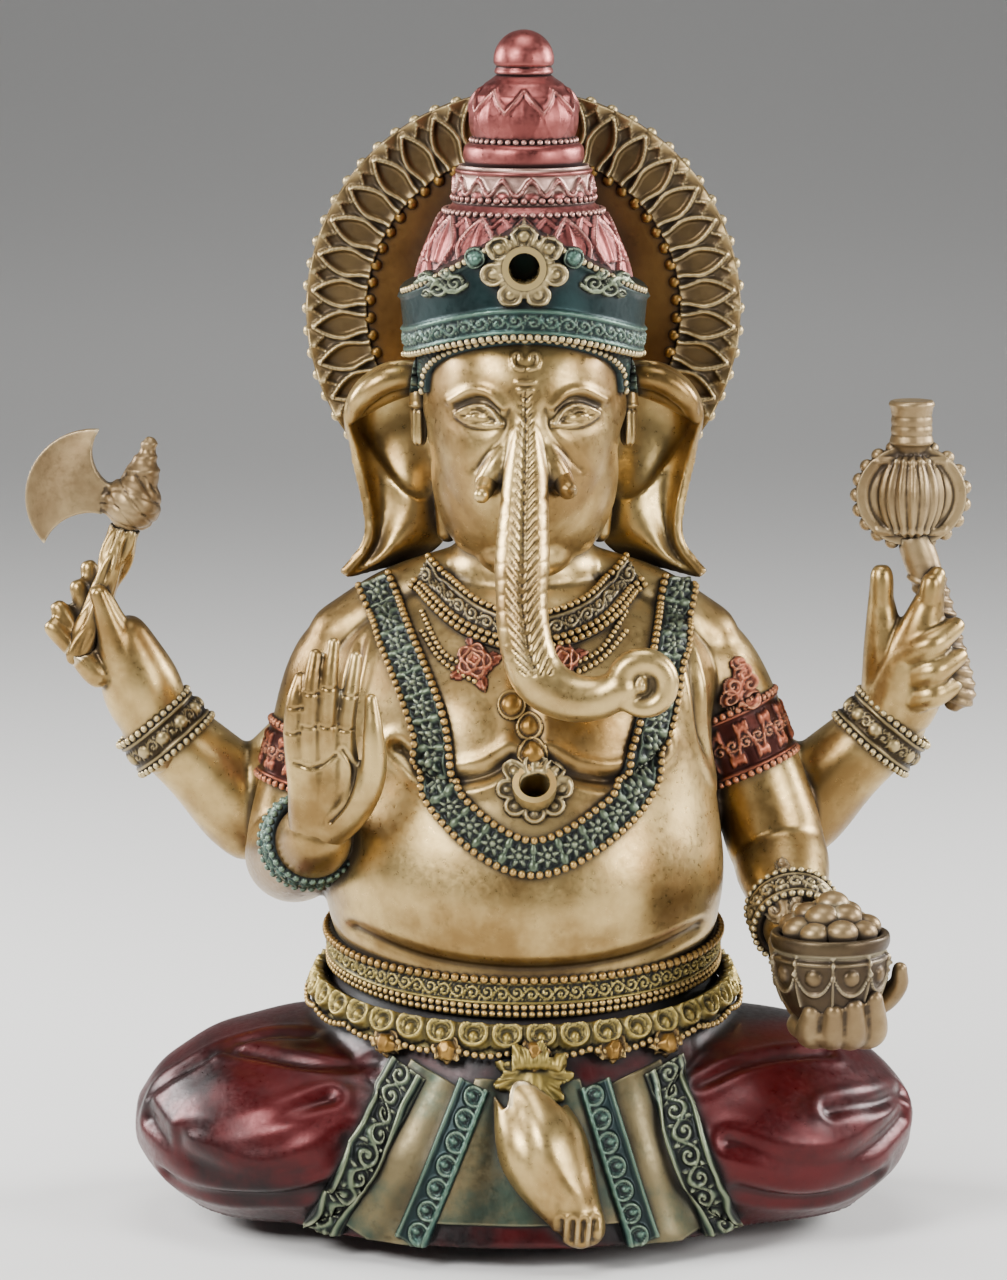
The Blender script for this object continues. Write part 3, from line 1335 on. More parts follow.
@dataclass
class Girdle:
    """Belt, scalloped apron, studs, swags and the clasp."""

    slope: float = math.tan(math.radians(7.0))
    top: float = 44.4
    belt_width: float = 6.6
    apron_width: float = 4.8
    stud_x: tuple = (-24.0, -13.5, 1.8, 15.5, 25.0)
    steps: int = 700

    def ring(self, upper: float, lower: float, target: BVHTree) -> Sheet:
        """Closed sheet round the waist between two offsets below the belt's top plane."""
        front = low_high("belt")[0][1]
        angles = np.linspace(0, FULL_TURN, self.steps, endpoint=False)
        offsets = np.linspace(lower - 0.12, upper + 0.12, int((lower - upper) / 0.26))
        spokes = np.stack([np.sin(angles), -np.cos(angles), 0 * angles], 1)
        spokes = spokes[:, None, :] * np.ones((1, len(offsets), 1))
        depth = np.where(spokes[..., 1] < 0, spokes[..., 1] * 34, spokes[..., 1] * 32) - 6.0
        centres = np.zeros(spokes.shape)
        centres[..., 1] = -6.0
        for _ in range(3):
            centres[..., 2] = self.top - offsets + (depth - front) * self.slope
            sheet = wrapped(centres, spokes, target, reach=70)
            depth = sheet.points[..., 1]
        rows = np.arange(len(offsets))
        slope, base = np.polyfit(rows, np.linalg.norm(sheet.points - centres, axis=-1).T, 1)
        slope = np.clip(slope, -0.12, 0.02)
        even = base[:, None] + slope[:, None] * rows
        even = (np.roll(even, 1, 0) + 2 * even + np.roll(even, -1, 0)) / 4
        for _ in range(60):
            even = (np.roll(even, 1, 0) + 2 * even + np.roll(even, -1, 0)) / 4
        centres[..., 2] = self.top - offsets + (centres[..., 1] + spokes[..., 1] * even
                                                - front) * self.slope
        return Sheet.laid(centres + unit(spokes) * even[..., None], spokes, True)

    def build(self) -> None:
        """Make the girdle on the seat's cloth and the body's skin."""
        core = surface(*cad("belt", "scallop_apron"))
        belt = self.ring(0.0, self.belt_width, core)
        width = belt.across
        pitch = fitted(belt.length, 5.2)
        scroll = vine(belt.along, width - 0.7, pitch, 3.2) * eased(1.75, 1.5, np.abs(width - 0.7))
        height = 0.1 + 0.8 * scroll + 0.6 * ridge(np.abs(width - 0.7) - 1.75, 0.3)
        dressed(belt.relief("belt_band", height, sink=1.6), GREEN_GOLD, Slot.BRONZE, "belt")
        rows = [strung(belt.line(share, 0.5), fitted(belt.length, step), True)
                for share, step in ((0.93, 1.75), (0.25, 1.4), (0.08, 1.4))]
        radii = np.concatenate([np.full(len(row), size) for row,
                                size in zip(rows, (0.84, 0.62, 0.62))])
        dressed(beads("belt_beads", np.vstack(rows), radii), GOLD_BEAD, Slot.BRONZE)
        apron = self.ring(self.belt_width, self.belt_width + self.apron_width, core)
        pitch = fitted(apron.length, 5.9)
        loops = scallops(apron.along, apron.across + 0.4, pitch, self.apron_width * 0.52)
        x = cells(apron.along, pitch)
        hem = -self.apron_width * 0.5 + 1.1 * (np.abs(x) / (pitch / 2)) ** 2
        height = np.where(apron.across > hem, -0.3 + 1.3 * loops, -1.2)
        dressed(apron.relief("apron_scallops", height, sink=1.7), GREEN_GOLD, Slot.BRONZE,
                "scallop_apron")
        self.swags(apron)
        self.studs_and_clasp()

    def swags(self, apron: Sheet) -> None:
        """Hang short bead swags under the scallops."""
        line = strung(apron.line(0.08, 0.3), fitted(apron.length, 1.45), True)
        turn = np.arange(len(line)) / 8.0
        line = line + np.stack([0 * turn, 0 * turn, -0.9 * np.abs(np.sin(math.pi * turn))], 1)
        dressed(beads("apron_beads", line, 0.62), GOLD_BEAD, Slot.BRONZE)

    def studs_and_clasp(self) -> None:
        """Set the faceted studs and the leaf clasp."""
        core = surface(*cad("scallop_apron", "belt", "lap_casting", "belt_clasp"))
        height = middle("belt_studs")[2]
        for number, x in enumerate(self.stud_x):
            def stud(dx: Array, dz: Array) -> Array:
                r, angle = np.hypot(dx, dz), np.arctan2(dz, dx)
                facet = np.cos(math.pi / 6) / np.cos(np.mod(angle, math.pi / 3) - math.pi / 6)
                edge = r / facet
                face = 0.5 + 1.3 * np.clip((1.75 - edge) / 0.9, 0, 1)
                petal = 2.9 * (0.9 + 0.1 * np.cos(8 * angle))
                collar = 0.3 + 0.35 * ridge(r - 2.3, 0.3)
                return np.where(edge < 1.75, face, np.where(r < petal, collar, OUTSIDE))
            piece = ornament(f"belt_stud_{number + 1}", (x, height - 2.0), (3.2, 3.2), core, stud,
                             step=0.2)
            dressed(piece, GOLD_BEAD, Slot.BRONZE, "belt_studs")
        centre = middle("belt_clasp")

        def clasp(dx: Array, dz: Array) -> Array:
            r, angle = np.hypot(dx / 1.15, dz), np.arctan2(dz, dx / 1.15)
            outer = 6.1 * (0.86 + 0.14 * np.cos(9 * angle + 0.5))
            veins = 0.35 * np.cos(18 * angle) * eased(2.4, 4.5, r)
            body = 0.8 + veins + 0.8 * dome(r, 6.6)
            for side in (-1, 1):
                curl = np.hypot(dx - side * 3.9, dz - 1.6)
                body = body + 0.8 * ridge(curl - 1.45, 0.4) + 0.9 * dome(curl, 0.7)
            body = body + 1.1 * ridge(dx, 0.9) * eased(3.0, -5.0, dz)
            return np.where(r < outer, body, OUTSIDE)

        piece = ornament("leaf_clasp", (centre[0], centre[2]), (7.6, 6.6), surface(
            *cad("lap_casting", "scallop_apron", "belt")), clasp, lift=0.8, step=0.24)
        dressed(piece, GREEN_GOLD, Slot.BRONZE, "belt_clasp")


# ------------------------------------------------------------------ head


@dataclass
class Head:
    """Elephant face with its trunk, tusks, ears and tassels."""

    cell: float = 0.38
    eye_x: float = 8.3
    eye_z: float = 142.6
    middle_x: float = 0.6
    curl: tuple = (20.6, 98.2)
    ear_outer: tuple = ((14.5, 146.6), (19.0, 148.6), (24.5, 148.8), (29.8, 145.6), (32.2, 140.6),
                        (30.6, 134.6), (28.6, 128.6), (27.0, 121.5), (27.6, 116.4), (31.8, 110.8))
    ear_inner: tuple = ((13.5, 143.5), (14.5, 137.0), (14.4, 130.0), (13.6, 124.0), (13.4, 118.5),
                        (16.0, 115.0), (22.5, 112.4), (31.0, 110.4))
    trunk_line: tuple = ((0.3, -20.5, 148), (0.3, -24.0, 143), (0.3, -26.5, 138), (0.2, -29.0, 131),
                         (-0.2, -32.8, 123), (-0.5, -36.8, 113.5), (0.2, -40.0, 105),
                         (2.6, -41.8, 98.8), (7.4, -43.0, 95.8), (12.6, -43.8, 95.6),
                         (16.6, -44.6, 97.4))
    trunk_radii: tuple = (1.5, 2.1, 3.0, 4.3, 4.8, 4.8, 4.9, 5.0, 4.6, 4.1, 3.6)

    def build(self) -> None:
        """Make the head's pieces."""
        face = casting("face_and_trunk", ("head_casting",), self.cell, 12, extra=self.clay_added())
        clay = Clay(face)
        self.brow(clay)
        for side in (-1, 1):
            self.eye(clay, side)
        clay.settle(1)
        self.trunk_grooves(clay)
        self.forehead_mark(clay)
        clay.settle()
        dressed(face, GOLD_SKIN, Slot.GOLD, "head_casting", "trunk")
        self.tusks()
        self.hairline(face)
        for side, word in SIDES:
            self.ear(side, word)
        self.tassels()

    def clay_added(self) -> list[Volume]:
        """Clay for the jaw, the cheeks, the tusk roots and the whole trunk."""
        x, y, z = self.curl[0], -45.0, self.curl[1]
        trunk = roll(self.trunk_line, self.trunk_radii)
        ring = [(x + 4.1 * math.cos(a), y, z + 4.1 * math.sin(a)) for a in np.linspace(3.4, -2.8,
                                                                                       14)]
        clay = [trunk, roll(ring, np.linspace(2.9, 1.9, 14)),
                lump((x, y + 1.4, z), (5.0, 2.2, 5.0)),
                lump((x - 0.2, y - 1.2, z), (1.15, 2.0, 1.7)),
                lump((0.2, -6.5, 131.0), (17.0, 17.0, 20.0)),
                lump((0.2, -5.0, 143.0), (18.6, 19.5, 14.0)),
                lump((0.2, -12, 117), (9.0, 8.5, 6.0))]
        for side in (-1, 1):
            clay.append(roll([(side * 2.4, -24.0, 139), (side * 4.8, -25.6, 134.6),
                              (side * 6.6, -25.6, 130.8)], (1.4, 2.3, 2.5)))
        return clay

    def brow(self, clay: Clay) -> None:
        """Round out the forehead, cheeks and jaw."""
        for side in (-1, 1):
            x = self.middle_x + side * 7.0
            clay.swell((x, -22, 154), (6, 9, 5), 0.7)
            clay.swell((self.middle_x + side * 15.5, -12, 149), (4, 8, 4), -0.6)
            clay.etch([(self.middle_x + side * 3.4, 143.5), (self.middle_x + side * 4.0, 140),
                         (self.middle_x + side * 6.6, 136.4), (self.middle_x + side * 9.6, 133.0)],
                        0.9, 0.4)
        clay.swell((0.5, 118.0), (6, 4), 0.6, flat=True)

    def eye(self, clay: Clay, side: int) -> None:
        """Model one eye: socket, ball, lids and brow."""
        x, z = self.middle_x + side * self.eye_x, self.eye_z
        clay.swell((x, z), (4.4, 2.6), -1.7, flat=True)
        clay.swell((x + side * 0.2, z - 0.2), (2.6, 1.25), 1.9, flat=True)
        inner, outer = x - side * 3.7, x + side * 4.2
        clay.settle()
        clay.etch([(inner, z - 1.4), (x - side * 1.8, z + 1.0), (x + side * 0.8, z + 1.5),
                     (outer, z - 0.2)], 0.36, -0.85)
        clay.etch([(inner, z - 1.5), (x - side * 0.8, z - 1.9), (x + side * 1.8, z - 1.6),
                     (outer, z - 0.3)], 0.34, -0.6)
        clay.etch([(inner + side * 0.2, z + 1.2), (x, z + 2.9), (outer, z + 1.2)], 0.42, 0.5)
        clay.etch([(x - side * 4.0, z + 1.6), (x - side * 1.6, z + 4.0), (x + side * 1.6, z + 4.3),
                     (x + side * 5.2, z + 2.0)], 0.8, -0.7)
        clay.swell((x + side * 0.3, z - 0.1), (0.7, 0.7), -0.45, flat=True)
        clay.etch([(x - side * 2.4, z - 0.9), (x + side * 0.4, z + 0.6), (x + side * 2.8, z - 0.2)],
                    0.26, 0.3)

    def trunk_grooves(self, clay: Clay) -> None:
        """Cut the herringbone down the trunk's front, side wrinkles and the curled tip."""
        z = clay.points[:, 2]
        ahead = clay.normals[:, 1] < -0.2
        centre = np.interp(z, (98, 104, 112, 123, 140, 147), (3.0, 0.8, -0.4, -0.2, 0.3, 0.3))
        x = clay.points[:, 0] - centre
        on_trunk = ahead & (clay.points[:, 1] < -23.0) & (z > 100) & (z < 147.0)
        reach = np.interp(z, (100, 118, 135, 148), (2.9, 2.6, 1.5, 0.9))
        band = on_trunk * eased(reach + 0.5, reach - 0.3, np.abs(x))
        strokes = ridge(cells(z - np.abs(x) * 1.1, 1.7), 0.30)
        clay.push(strokes * band, -0.34)
        clay.push(ridge(x, 0.26) * on_trunk * (z > 101), -0.36)
        sides = ((clay.points[:, 1] < -27) & (np.abs(x) > 2.8) & (np.abs(x) < 7)
                 & (z > 101) & (z < 131))
        clay.push(ridge(cells(z + 0.3 * np.sin(x), 2.6), 0.3) * sides, -0.09)

    def forehead_mark(self, clay: Clay) -> None:
        """Raise a plain symmetrical scroll mark on the forehead."""
        m = self.middle_x - 0.3
        for side in (-1, 1):
            clay.etch([(m + side * 0.5, 150.8), (m + side * 2.0, 151.2), (m + side * 2.3, 153.0),
                         (m + side * 1.1, 153.6), (m + side * 1.0, 152.5)], 0.28, -0.5)
        for z, half in ((148.6, 1.5), (147.2, 1.1)):
            clay.etch([(m - half, z), (m, z - 0.2), (m + half, z)], 0.26, -0.45)
        clay.swell((m, 155.2), (0.55, 0.55), 0.7, flat=True)

    def tusks(self) -> None:
        """Shape the broken and the pointed tusk, each in its fleshy socket."""
        shapes = (("broken_tusk", -1, ((6.2, -25.0, 131.6), (7.0, -28.2, 129.8),
                                       (7.4, -30.0, 129.2)),
                   (1.6, 1.75, 1.7)),
                  ("pointed_tusk", 1, ((6.4, -25.0, 131.8), (7.6, -28.6, 130.0),
                                       (8.8, -31.4, 130.4)),
                   (1.7, 1.5, 0.5)))
        for node, side, spots, radii in shapes:
            spots = [(side * x, y, z) for x, y, z in spots]
            collar = roll([spots[0], spots[1]], (2.3, 2.0))
            tusk = casting(f"{node}_cast", (), 0.26, 4, extra=[roll(spots, radii), collar])
            dressed(tusk, GOLD_SKIN, Slot.GOLD, node)

    def hairline(self, face: Piece) -> None:
        """Lay the cloth edge and its bead row that frame the forehead."""
        half = ((18.4, 145.6), (17.6, 150.0), (14.2, 153.6), (7.6, 155.9))
        line = [(-x, z) for x, z in half] + [(0.3, 156.6)] + list(half[::-1])
        ground = surface(face)
        band = front_strip(line, 3.6, ground, step=0.25)
        height = 0.9 + 0.35 * rosettes(band.along, band.across, fitted(band.length, 2.6), 1.1, 4)
        dressed(band.relief("hairline_band", height, sink=1.4), TEAL_PLAIN, Slot.GREEN)
        rows = [strung(band.line(0.12, 0.9), 1.45)]
        dressed(beads("hairline_beads", np.vstack(rows), 0.68), BRONZE, Slot.GREEN)

    def ear(self, side: int, word: str) -> None:
        """Shape one ear: rolled rim, deep cup by the cheek and long falling folds."""
        steps = 150
        outer = smooth_line(self.ear_outer, 0.2)
        inner = smooth_line(self.ear_inner, 0.2)
        rows = np.linspace(0, 1, steps)

        def read_off(line: Array) -> Array:
            at = np.linspace(0, 1, len(line))
            return np.stack([np.interp(rows, at, line[:, k]) for k in (0, 1)], 1)

        edge, root = read_off(outer), read_off(inner)
        t = np.linspace(0, 1, 52)
        x = root[:, :1] + (edge[:, :1] - root[:, :1]) * t
        z = root[:, 1:] + (edge[:, 1:] - root[:, 1:]) * t
        s, t = rows[:, None], t[None, :]
        rim = ridge(t - 0.97, 0.10) * eased(0.62, 0.35, s)
        cup = dome(np.hypot((s - 0.24) / 0.30, (t - 0.50) / 0.48), 1.0)
        fold = np.cos(FULL_TURN * (1.25 * t - 0.30 - 0.25 * s)) * eased(0.22, 0.5,
                                                                        s) * eased(1.05, 0.8, s)
        y = 1.2 - 1.6 * s - 3.6 * rim + 3.4 * cup - 1.5 * fold - 2.2 * t * eased(0.4, 1.0, s)
        y = y - 1.6 * ridge(s - 0.0, 0.07) + 0.8 * (1 - t)
        points = np.stack([side * x, y + 0 * x, z], -1)
        sheet = Sheet.laid(points, FRONT)
        piece = sheet.relief(f"{word}_ear_cast", 0.0, sink=1.9)
        piece.data.attributes.remove(piece.data.attributes["rise"])
        flap = roll([(side * 15.0, -2.6, 146.8), (side * 20.0, -4.6, 147.4),
                     (side * 25.0, -5.4, 146.6),
                     (side * 29.0, -4.6, 143.4), (side * 30.6, -2.6, 139.6)],
                    (1.4, 2.0, 2.3, 2.0, 1.0))
        lobe = roll([(side * 17.0, -1.4, 146.0), (side * 24.0, -2.4, 144.8),
                     (side * 29.4, -1.4, 140.8)],
                    (1.6, 2.4, 1.4))
        root = roll([(side * 14.2, -1.0, 141), (side * 14.4, -1.0, 130), (side * 13.6, -1.0, 119)],
                    (2.2, 2.0, 2.0))
        parts = [piece] + [made_mesh("clay", points, faces) for points, faces in (flap, lobe, root)]
        pick(*parts)
        bpy.ops.object.join()
        applied(piece, "REMESH", mode="VOXEL", voxel_size=0.4 * MM, use_smooth_shade=True)
        applied(piece, "SMOOTH", factor=0.5, iterations=9)
        dressed(piece, GOLD_SKIN, Slot.GOLD, f"{word}_ear")

    def tassels(self) -> None:
        """Shape the ribbed ear tassels."""
        pieces = casting("ear_tassels_cast", ("ear_tassels",), 0.25, 3)
        clay = Clay(pieces)
        z = clay.points[:, 2]
        angle = np.arctan2(clay.points[:, 1] + 5.2, np.abs(clay.points[:, 0]) - 18.7)
        clay.push(np.cos(angle * 7) * (z < 141.5), 0.14)
        clay.push(ridge(z - 142.4, 0.35) - ridge(z - 141.6, 0.3), 0.3)
        clay.settle()
        dressed(pieces, GOLD_SKIN, Slot.GOLD, "ear_tassels")


# ------------------------------------------------------------------ crown and halo


@dataclass
class Crown:
    """Diadem and the tiers of the crown, up to the ball."""

    axis: tuple = (0.0, 2.0)
    peak: float = 176.0
    corner: float = 162.4
    corner_x: float = 23.5
    outlet: float = 168.8
    cap_petals: int = 12

    def build(self) -> None:
        """Make the crown's pieces."""
        self.diadem()
        self.dome()
        self.scroll_tier()
        self.ring_and_ball()
        self.bulb()

    def polar(self, clay: Clay) -> tuple[Array, Array, Array]:
        """Angle from the front, distance from the axis and height of each place."""
        x = clay.points[:, 0] - self.axis[0]
        y = clay.points[:, 1] - self.axis[1]
        return np.arctan2(x, -y), np.hypot(x, y), clay.points[:, 2]

    def top_edge(self, x: Array) -> Array:
        """Height of the diadem's upper edge."""
        return self.peak - (self.peak - self.corner) * np.abs(x) / self.corner_x

    def low_edge(self, x: Array) -> Array:
        """Height of the diadem's lower edge."""
        share = np.clip(np.abs(x) / 21.5, 0, 1)
        return 156.4 - 5.4 * share**2

    def diadem(self) -> None:
        """Shape the diadem's band and field, then its beads, sprays, studs and flower."""
        band = casting("diadem_band", ("diadem",), 0.34, 3)
        clay = Clay(band)
        x, z = clay.points[:, 0], clay.points[:, 2]
        front = clay.normals[:, 1] < 0.15
        angle, _, _ = self.polar(clay)
        run = angle * 22.0
        above = z - self.low_edge(x)
        scroll = vine(run, above - 3.0, 4.6, 3.0) * eased(1.7, 1.45, np.abs(above - 3.0))
        clay.push(front * scroll, 0.6)
        clay.push(front * ridge(above - 1.1, 0.32), 0.55)
        clay.push(front * ridge(above - 4.9, 0.36), 0.6)
        clay.push(front * ridge(self.top_edge(x) - z - 1.5, 0.4), 0.5)
        rise = np.clip(front * (scroll + ridge(above - 4.9, 0.4) + ridge(above - 1.1, 0.4)), 0, 1)
        clay.settle()
        mark_rise(band, rise)
        dressed(band, TEAL_PLAIN, Slot.GREEN, "diadem")
        ground = surface(band)
        rows = []
        for edge, sign in ((self.top_edge, -0.5), (self.low_edge, 0.3)):
            x_line = np.linspace(-21.2, 21.2, 120)
            line = np.stack([x_line, edge(x_line) + sign], 1)[:, None, :]
            lying = front_places(line[..., 0], line[..., 1], ground)[:, 0]
            rows.append(strung(lying + np.array((0, -0.25, 0)), 1.42))
        dressed(beads("diadem_beads", np.vstack(rows), 0.66), BRONZE, Slot.GREEN)
        for side, word in SIDES:
            spray = ornament(f"{word}_diadem_spray", (side * 14.2, 165.3), (4.9, 3.6), ground,
                             scrollwork(4.7, 3.4, side), step=0.22)
            dressed(spray, TEAL, Slot.GREEN)

            def stud(dx: Array, dz: Array) -> Array:
                r = np.hypot(dx, dz)
                return np.where(r < 1.9, 0.35 + 0.5 * ridge(r - 1.6, 0.25) + 1.0 * dome(r, 1.25),
                                OUTSIDE)
            piece = ornament(f"{word}_diadem_stud", (side * 8.4, 170.4), (2.1, 2.1), ground, stud,
                             step=0.2)
            dressed(piece, TEAL_PLAIN, Slot.GREEN)
        petals = ornament("outlet_flower", (0.0, self.outlet), (7.7, 7.7), ground,
                          flower(7, 5.3, 2.2, 3.75), lift=0.5, step=0.22)
        dressed(petals, BRONZE, Slot.BRONZE, "crown_flower")
        kept_node("crown_vent_sleeve", BRASS)

    def dome(self) -> None:
        """Shape the dome with two tiers of upright petals."""
        dome_piece = casting("petal_dome", ("crown_dome",), 0.42, 3)
        clay = Clay(dome_piece)
        angle, radius, z = self.polar(clay)
        low, high = low_high("crown_dome")
        skin = (radius > 11) & (clay.normals[:, 2] < 0.95) & (clay.points[:, 1] < 14.5)
        share = (z - low[2]) / (high[2] - low[2])
        turn = angle + FULL_TURN
        lower = lotus(turn, np.clip(share / 0.6, 0, 1), self.cap_petals)
        upper = lotus(turn + math.pi / self.cap_petals, np.clip((share - 0.42) / 0.46, 0, 1),
                      self.cap_petals)
        clay.push(skin * np.where(share < 0.42, lower, upper) * (share < 0.93), 1.0)
        clay.points[:, 1] = np.minimum(clay.points[:, 1], 19.8)
        clay.settle()
        dressed(dome_piece, COPPER, Slot.COPPER, "crown_dome")
        line = strung(self.circle(14.1, high[2] - 2.0), 1.5, True)
        dressed(beads("dome_beads", line, 0.62), COPPER, Slot.COPPER)

    def circle(self, radius: float, height: float, count: int = 240) -> Array:
        """Level circle about the crown's axis."""
        angle = np.linspace(0, FULL_TURN, count, endpoint=False)
        return np.stack([self.axis[0] + radius * np.sin(angle),
                         self.axis[1] - radius * np.cos(angle),
                         np.full(count, height)], 1)

    def scroll_tier(self) -> None:
        """Shape the tier with its running wave, between bead rows."""
        low, high = low_high("crown_scroll_tier")
        tall = high[2] - low[2]
        sheet = turned(self.axis, [(0.4, low[2] - 0.6), (11.9, low[2] - 0.3), (12.2, low[2] + 0.3),
                                   (11.6, high[2] - 0.4), (10.6, high[2] + 0.1),
                                   (0.4, high[2] + 0.2)],
                       0.32)
        z = sheet.points[..., 2]
        wave = 0.5 + 0.5 * np.sin(sheet.angles * 15)
        side = eased(10.4, 11.2, np.hypot(sheet.points[..., 0], sheet.points[..., 1] - 2))
        crest = low[2] + tall * (0.42 + 0.22 * np.sin(sheet.angles * 15))
        height = side * (0.9 * ridge(z - crest, 0.5) + 0.55 * dome(z - low[2] - 1.0, 1.0) * wave
                         + 0.6 * ridge(z - high[2] + 0.9, 0.45))
        dressed(sheet.relief("wave_tier", height, sink=0.4), COPPER, Slot.COPPER,
                "crown_scroll_tier")
        rows = [strung(self.circle(12.5, low[2] + 0.4), 1.6, True)]
        dressed(beads("wave_tier_beads", np.vstack(rows), 0.7), COPPER, Slot.COPPER)

    def ring_and_ball(self) -> None:
        """Finish the smooth ring and the ball."""
        ring = casting("smooth_ring", ("crown_ring",), 0.4, 3)
        clay = Clay(ring)
        _, radius, z = self.polar(clay)
        low, high = low_high("crown_ring")
        clay.push((radius > 8) * dome(z - (low[2] + high[2]) / 2, 2.2), 0.5)
        clay.settle(1)
        dressed(ring, COPPER, Slot.COPPER, "crown_ring")
        ball = casting("top_ball", ("crown_ball",), 0.3, 3)
        clay = Clay(ball)
        low, _ = low_high("crown_ball")
        z = clay.points[:, 2]
        clay.push(ridge(z - low[2] - 1.5, 0.35), -0.35)
        clay.push(ridge(z - low[2] - 0.6, 0.4), 0.3)
        clay.settle()
        dressed(ball, COPPER, Slot.COPPER, "crown_ball")

    def bulb(self) -> None:
        """Shape the bulb with its hanging petals and zigzag."""
        bulb = casting("petal_bulb", ("crown_bulb",), 0.3, 3)
        clay = Clay(bulb)
        angle, _, z = self.polar(clay)
        low, high = low_high("crown_bulb")
        share = np.clip((z - low[2]) / (high[2] - low[2]), 0, 1)
        side = (clay.normals[:, 2] < 0.97) & (clay.normals[:, 2] > -0.97)
        zigzag = 0.63 + 0.16 * (2 * np.abs(np.mod(angle * 9 / FULL_TURN, 1.0) - 0.5) * 2 - 1)
        clay.push(side * ridge((share - zigzag) * 12, 0.55), 0.6)
        inner = side * eased(0.02, 0.06, share - zigzag)
        clay.push(inner * ridge(cells(share * 12, 1.9), 0.5), 0.15)
        petal = lotus(angle + FULL_TURN + math.pi / 9, np.clip(1 - share / 0.62, 0, 1), 9)
        clay.push(side * (share < zigzag - 0.06) * petal, 0.12)
        clay.settle()
        dressed(bulb, COPPER, Slot.COPPER, "crown_bulb")
        rows = np.vstack([strung(self.circle(9.2, low[2] + 0.5), 1.4, True),
                          strung(self.circle(9.6, low[2] - 4.1), 1.4, True)])
        dressed(beads("bulb_beads", rows, 0.62), COPPER, Slot.COPPER)


@dataclass
class Halo:
    """Disc, petal rim and bead rings behind the head."""

    petals: int = 36
    outer_beads: int = 60
    inner_beads: int = 54
    bead: float = 1.15
    petal_rows: int = 16

    def build(self) -> None:
        """Make the halo's pieces."""
        low, high = low_high("halo_petal_rim")
        centre = (low + high) / 2
        outer = (high[0] - low[0]) / 2
        inner = (low_high("halo_disc")[1][0])
        for facing, word in ((-1, "front"), (1, "back")):
            angles = np.linspace(0, FULL_TURN, self.petals * self.petal_rows, endpoint=False)
            share = np.linspace(0, 1, 34)
            radii = inner - 0.6 + share * (outer - inner + 1.0)
            spokes = np.stack([np.sin(angles), 0 * angles, np.cos(angles)], 1)
            points = centre + spokes[:, None, :] * radii[None, :, None]
            points[..., 1] = centre[1] + facing * 1.1
            sheet = Sheet.laid(points, np.array((0, float(facing), 0)), True, even=False)
            grid_angle = angles[:, None] * np.ones(len(share))
            grid_share = share[None, :] * np.ones((len(angles), 1))
            leaf = lotus(grid_angle, np.clip(grid_share * 1.12 - 0.06, 0, 1), self.petals, False)
            swell = 0.5 + 0.5 * np.cos(grid_angle * self.petals)
            height = 0.2 + 1.7 * leaf + 0.5 * ridge(grid_share, 0.08)
            height = height + 0.9 * eased(0.72, 1.0, grid_share) * swell
            piece = sheet.relief(f"halo_petals_{word}", height, sink=1.1)
            dressed(piece, HALO_GOLD, Slot.BRONZE, "halo_petal_rim")
        kept_node("halo_disc", HALO_FIELD)
        rings = []
        for count, radius, depth in ((self.inner_beads, inner - self.bead, low[1] + 0.8),
                                     (self.outer_beads, outer + 0.1, centre[1])):
            angle = FULL_TURN * np.arange(count) / count
            rings.append(np.stack([centre[0] + radius * np.sin(angle), np.full(count, depth),
                                   centre[2] + radius * np.cos(angle)], 1))
        dressed(beads("halo_inner_beads", rings[0], self.bead), GOLD_BEAD, Slot.BRONZE,
                "halo_beads")
        dressed(beads("halo_outer_beads", rings[1], self.bead), HALO_GOLD, Slot.BRONZE,
                "halo_beads")


# ------------------------------------------------------------------ arms and what they hold


@dataclass(frozen=True)
class Cuff:
    """Round ornament band about an arm."""

    name: str
    start: tuple
    end: tuple
    start_radius: float
    end_radius: float
    finish: CastFinish
    slot: Slot
    repeat: float = 5.0
    studded: bool = False

    def build(self) -> None:
        """Make the band with its bead rows."""
        a, b = np.array(self.start, float), np.array(self.end, float)
        way = unit(b - a)
        side = unit(np.cross(way, (0.0, 0.0, 1.0) if abs(way[2]) < 0.9 else (0.0, 1.0, 0.0)))
        other = np.cross(way, side)
        count = int(FULL_TURN * max(self.start_radius, self.end_radius) / 0.28 / 4) * 4
        angles = np.linspace(0, FULL_TURN, count, endpoint=False)
        share = np.linspace(0, 1, max(8, int(np.linalg.norm(b - a) / 0.28)))
        spokes = np.cos(angles)[:, None] * side + np.sin(angles)[:, None] * other
        centres = a + share[:, None] * (b - a)
        radii = self.start_radius + share * (self.end_radius - self.start_radius) + 1.0
        points = centres[None] + spokes[:, None, :] * radii[None, :, None]
        spoke_grid = spokes[:, None, :] * np.ones((1, len(share), 1))
        sheet = Sheet.laid(points, spoke_grid, True, even=False)
        length = sheet.length
        half = float(np.abs(sheet.across).max())
        inside = half - 1.5
        if self.studded:
            pitch = fitted(length, self.repeat)
            x = cells(sheet.along, pitch)
            pattern = np.maximum(dome(np.hypot(x, sheet.across), inside * 0.62),
                                 0.55 * vine(sheet.along + pitch / 4, sheet.across, pitch,
                                             inside * 1.6))
        else:
            pattern = vine(sheet.along, sheet.across, fitted(length, self.repeat), inside * 1.9)
        height = 0.1 + 0.75 * pattern * eased(inside, inside - 0.3, np.abs(sheet.across))
        height = height + 0.45 * ridge(np.abs(sheet.across) - inside - 0.15, 0.3)
        dressed(sheet.relief(f"{self.name}_band", height, sink=1.4), self.finish, self.slot,
                self.name)
        rows = [strung(sheet.line(place, 0.25), fitted(length, 1.5), True) for place in (0.05,
                                                                                         0.95)]
        dressed(beads(f"{self.name}_beads", np.vstack(rows), 0.68), self.finish, self.slot)


def between(start: Place, end: Place, share: float) -> tuple[float, float, float]:
    """Place part of the way between two places."""
    return tuple(a + (b - a) * share for a, b in zip(start, end))


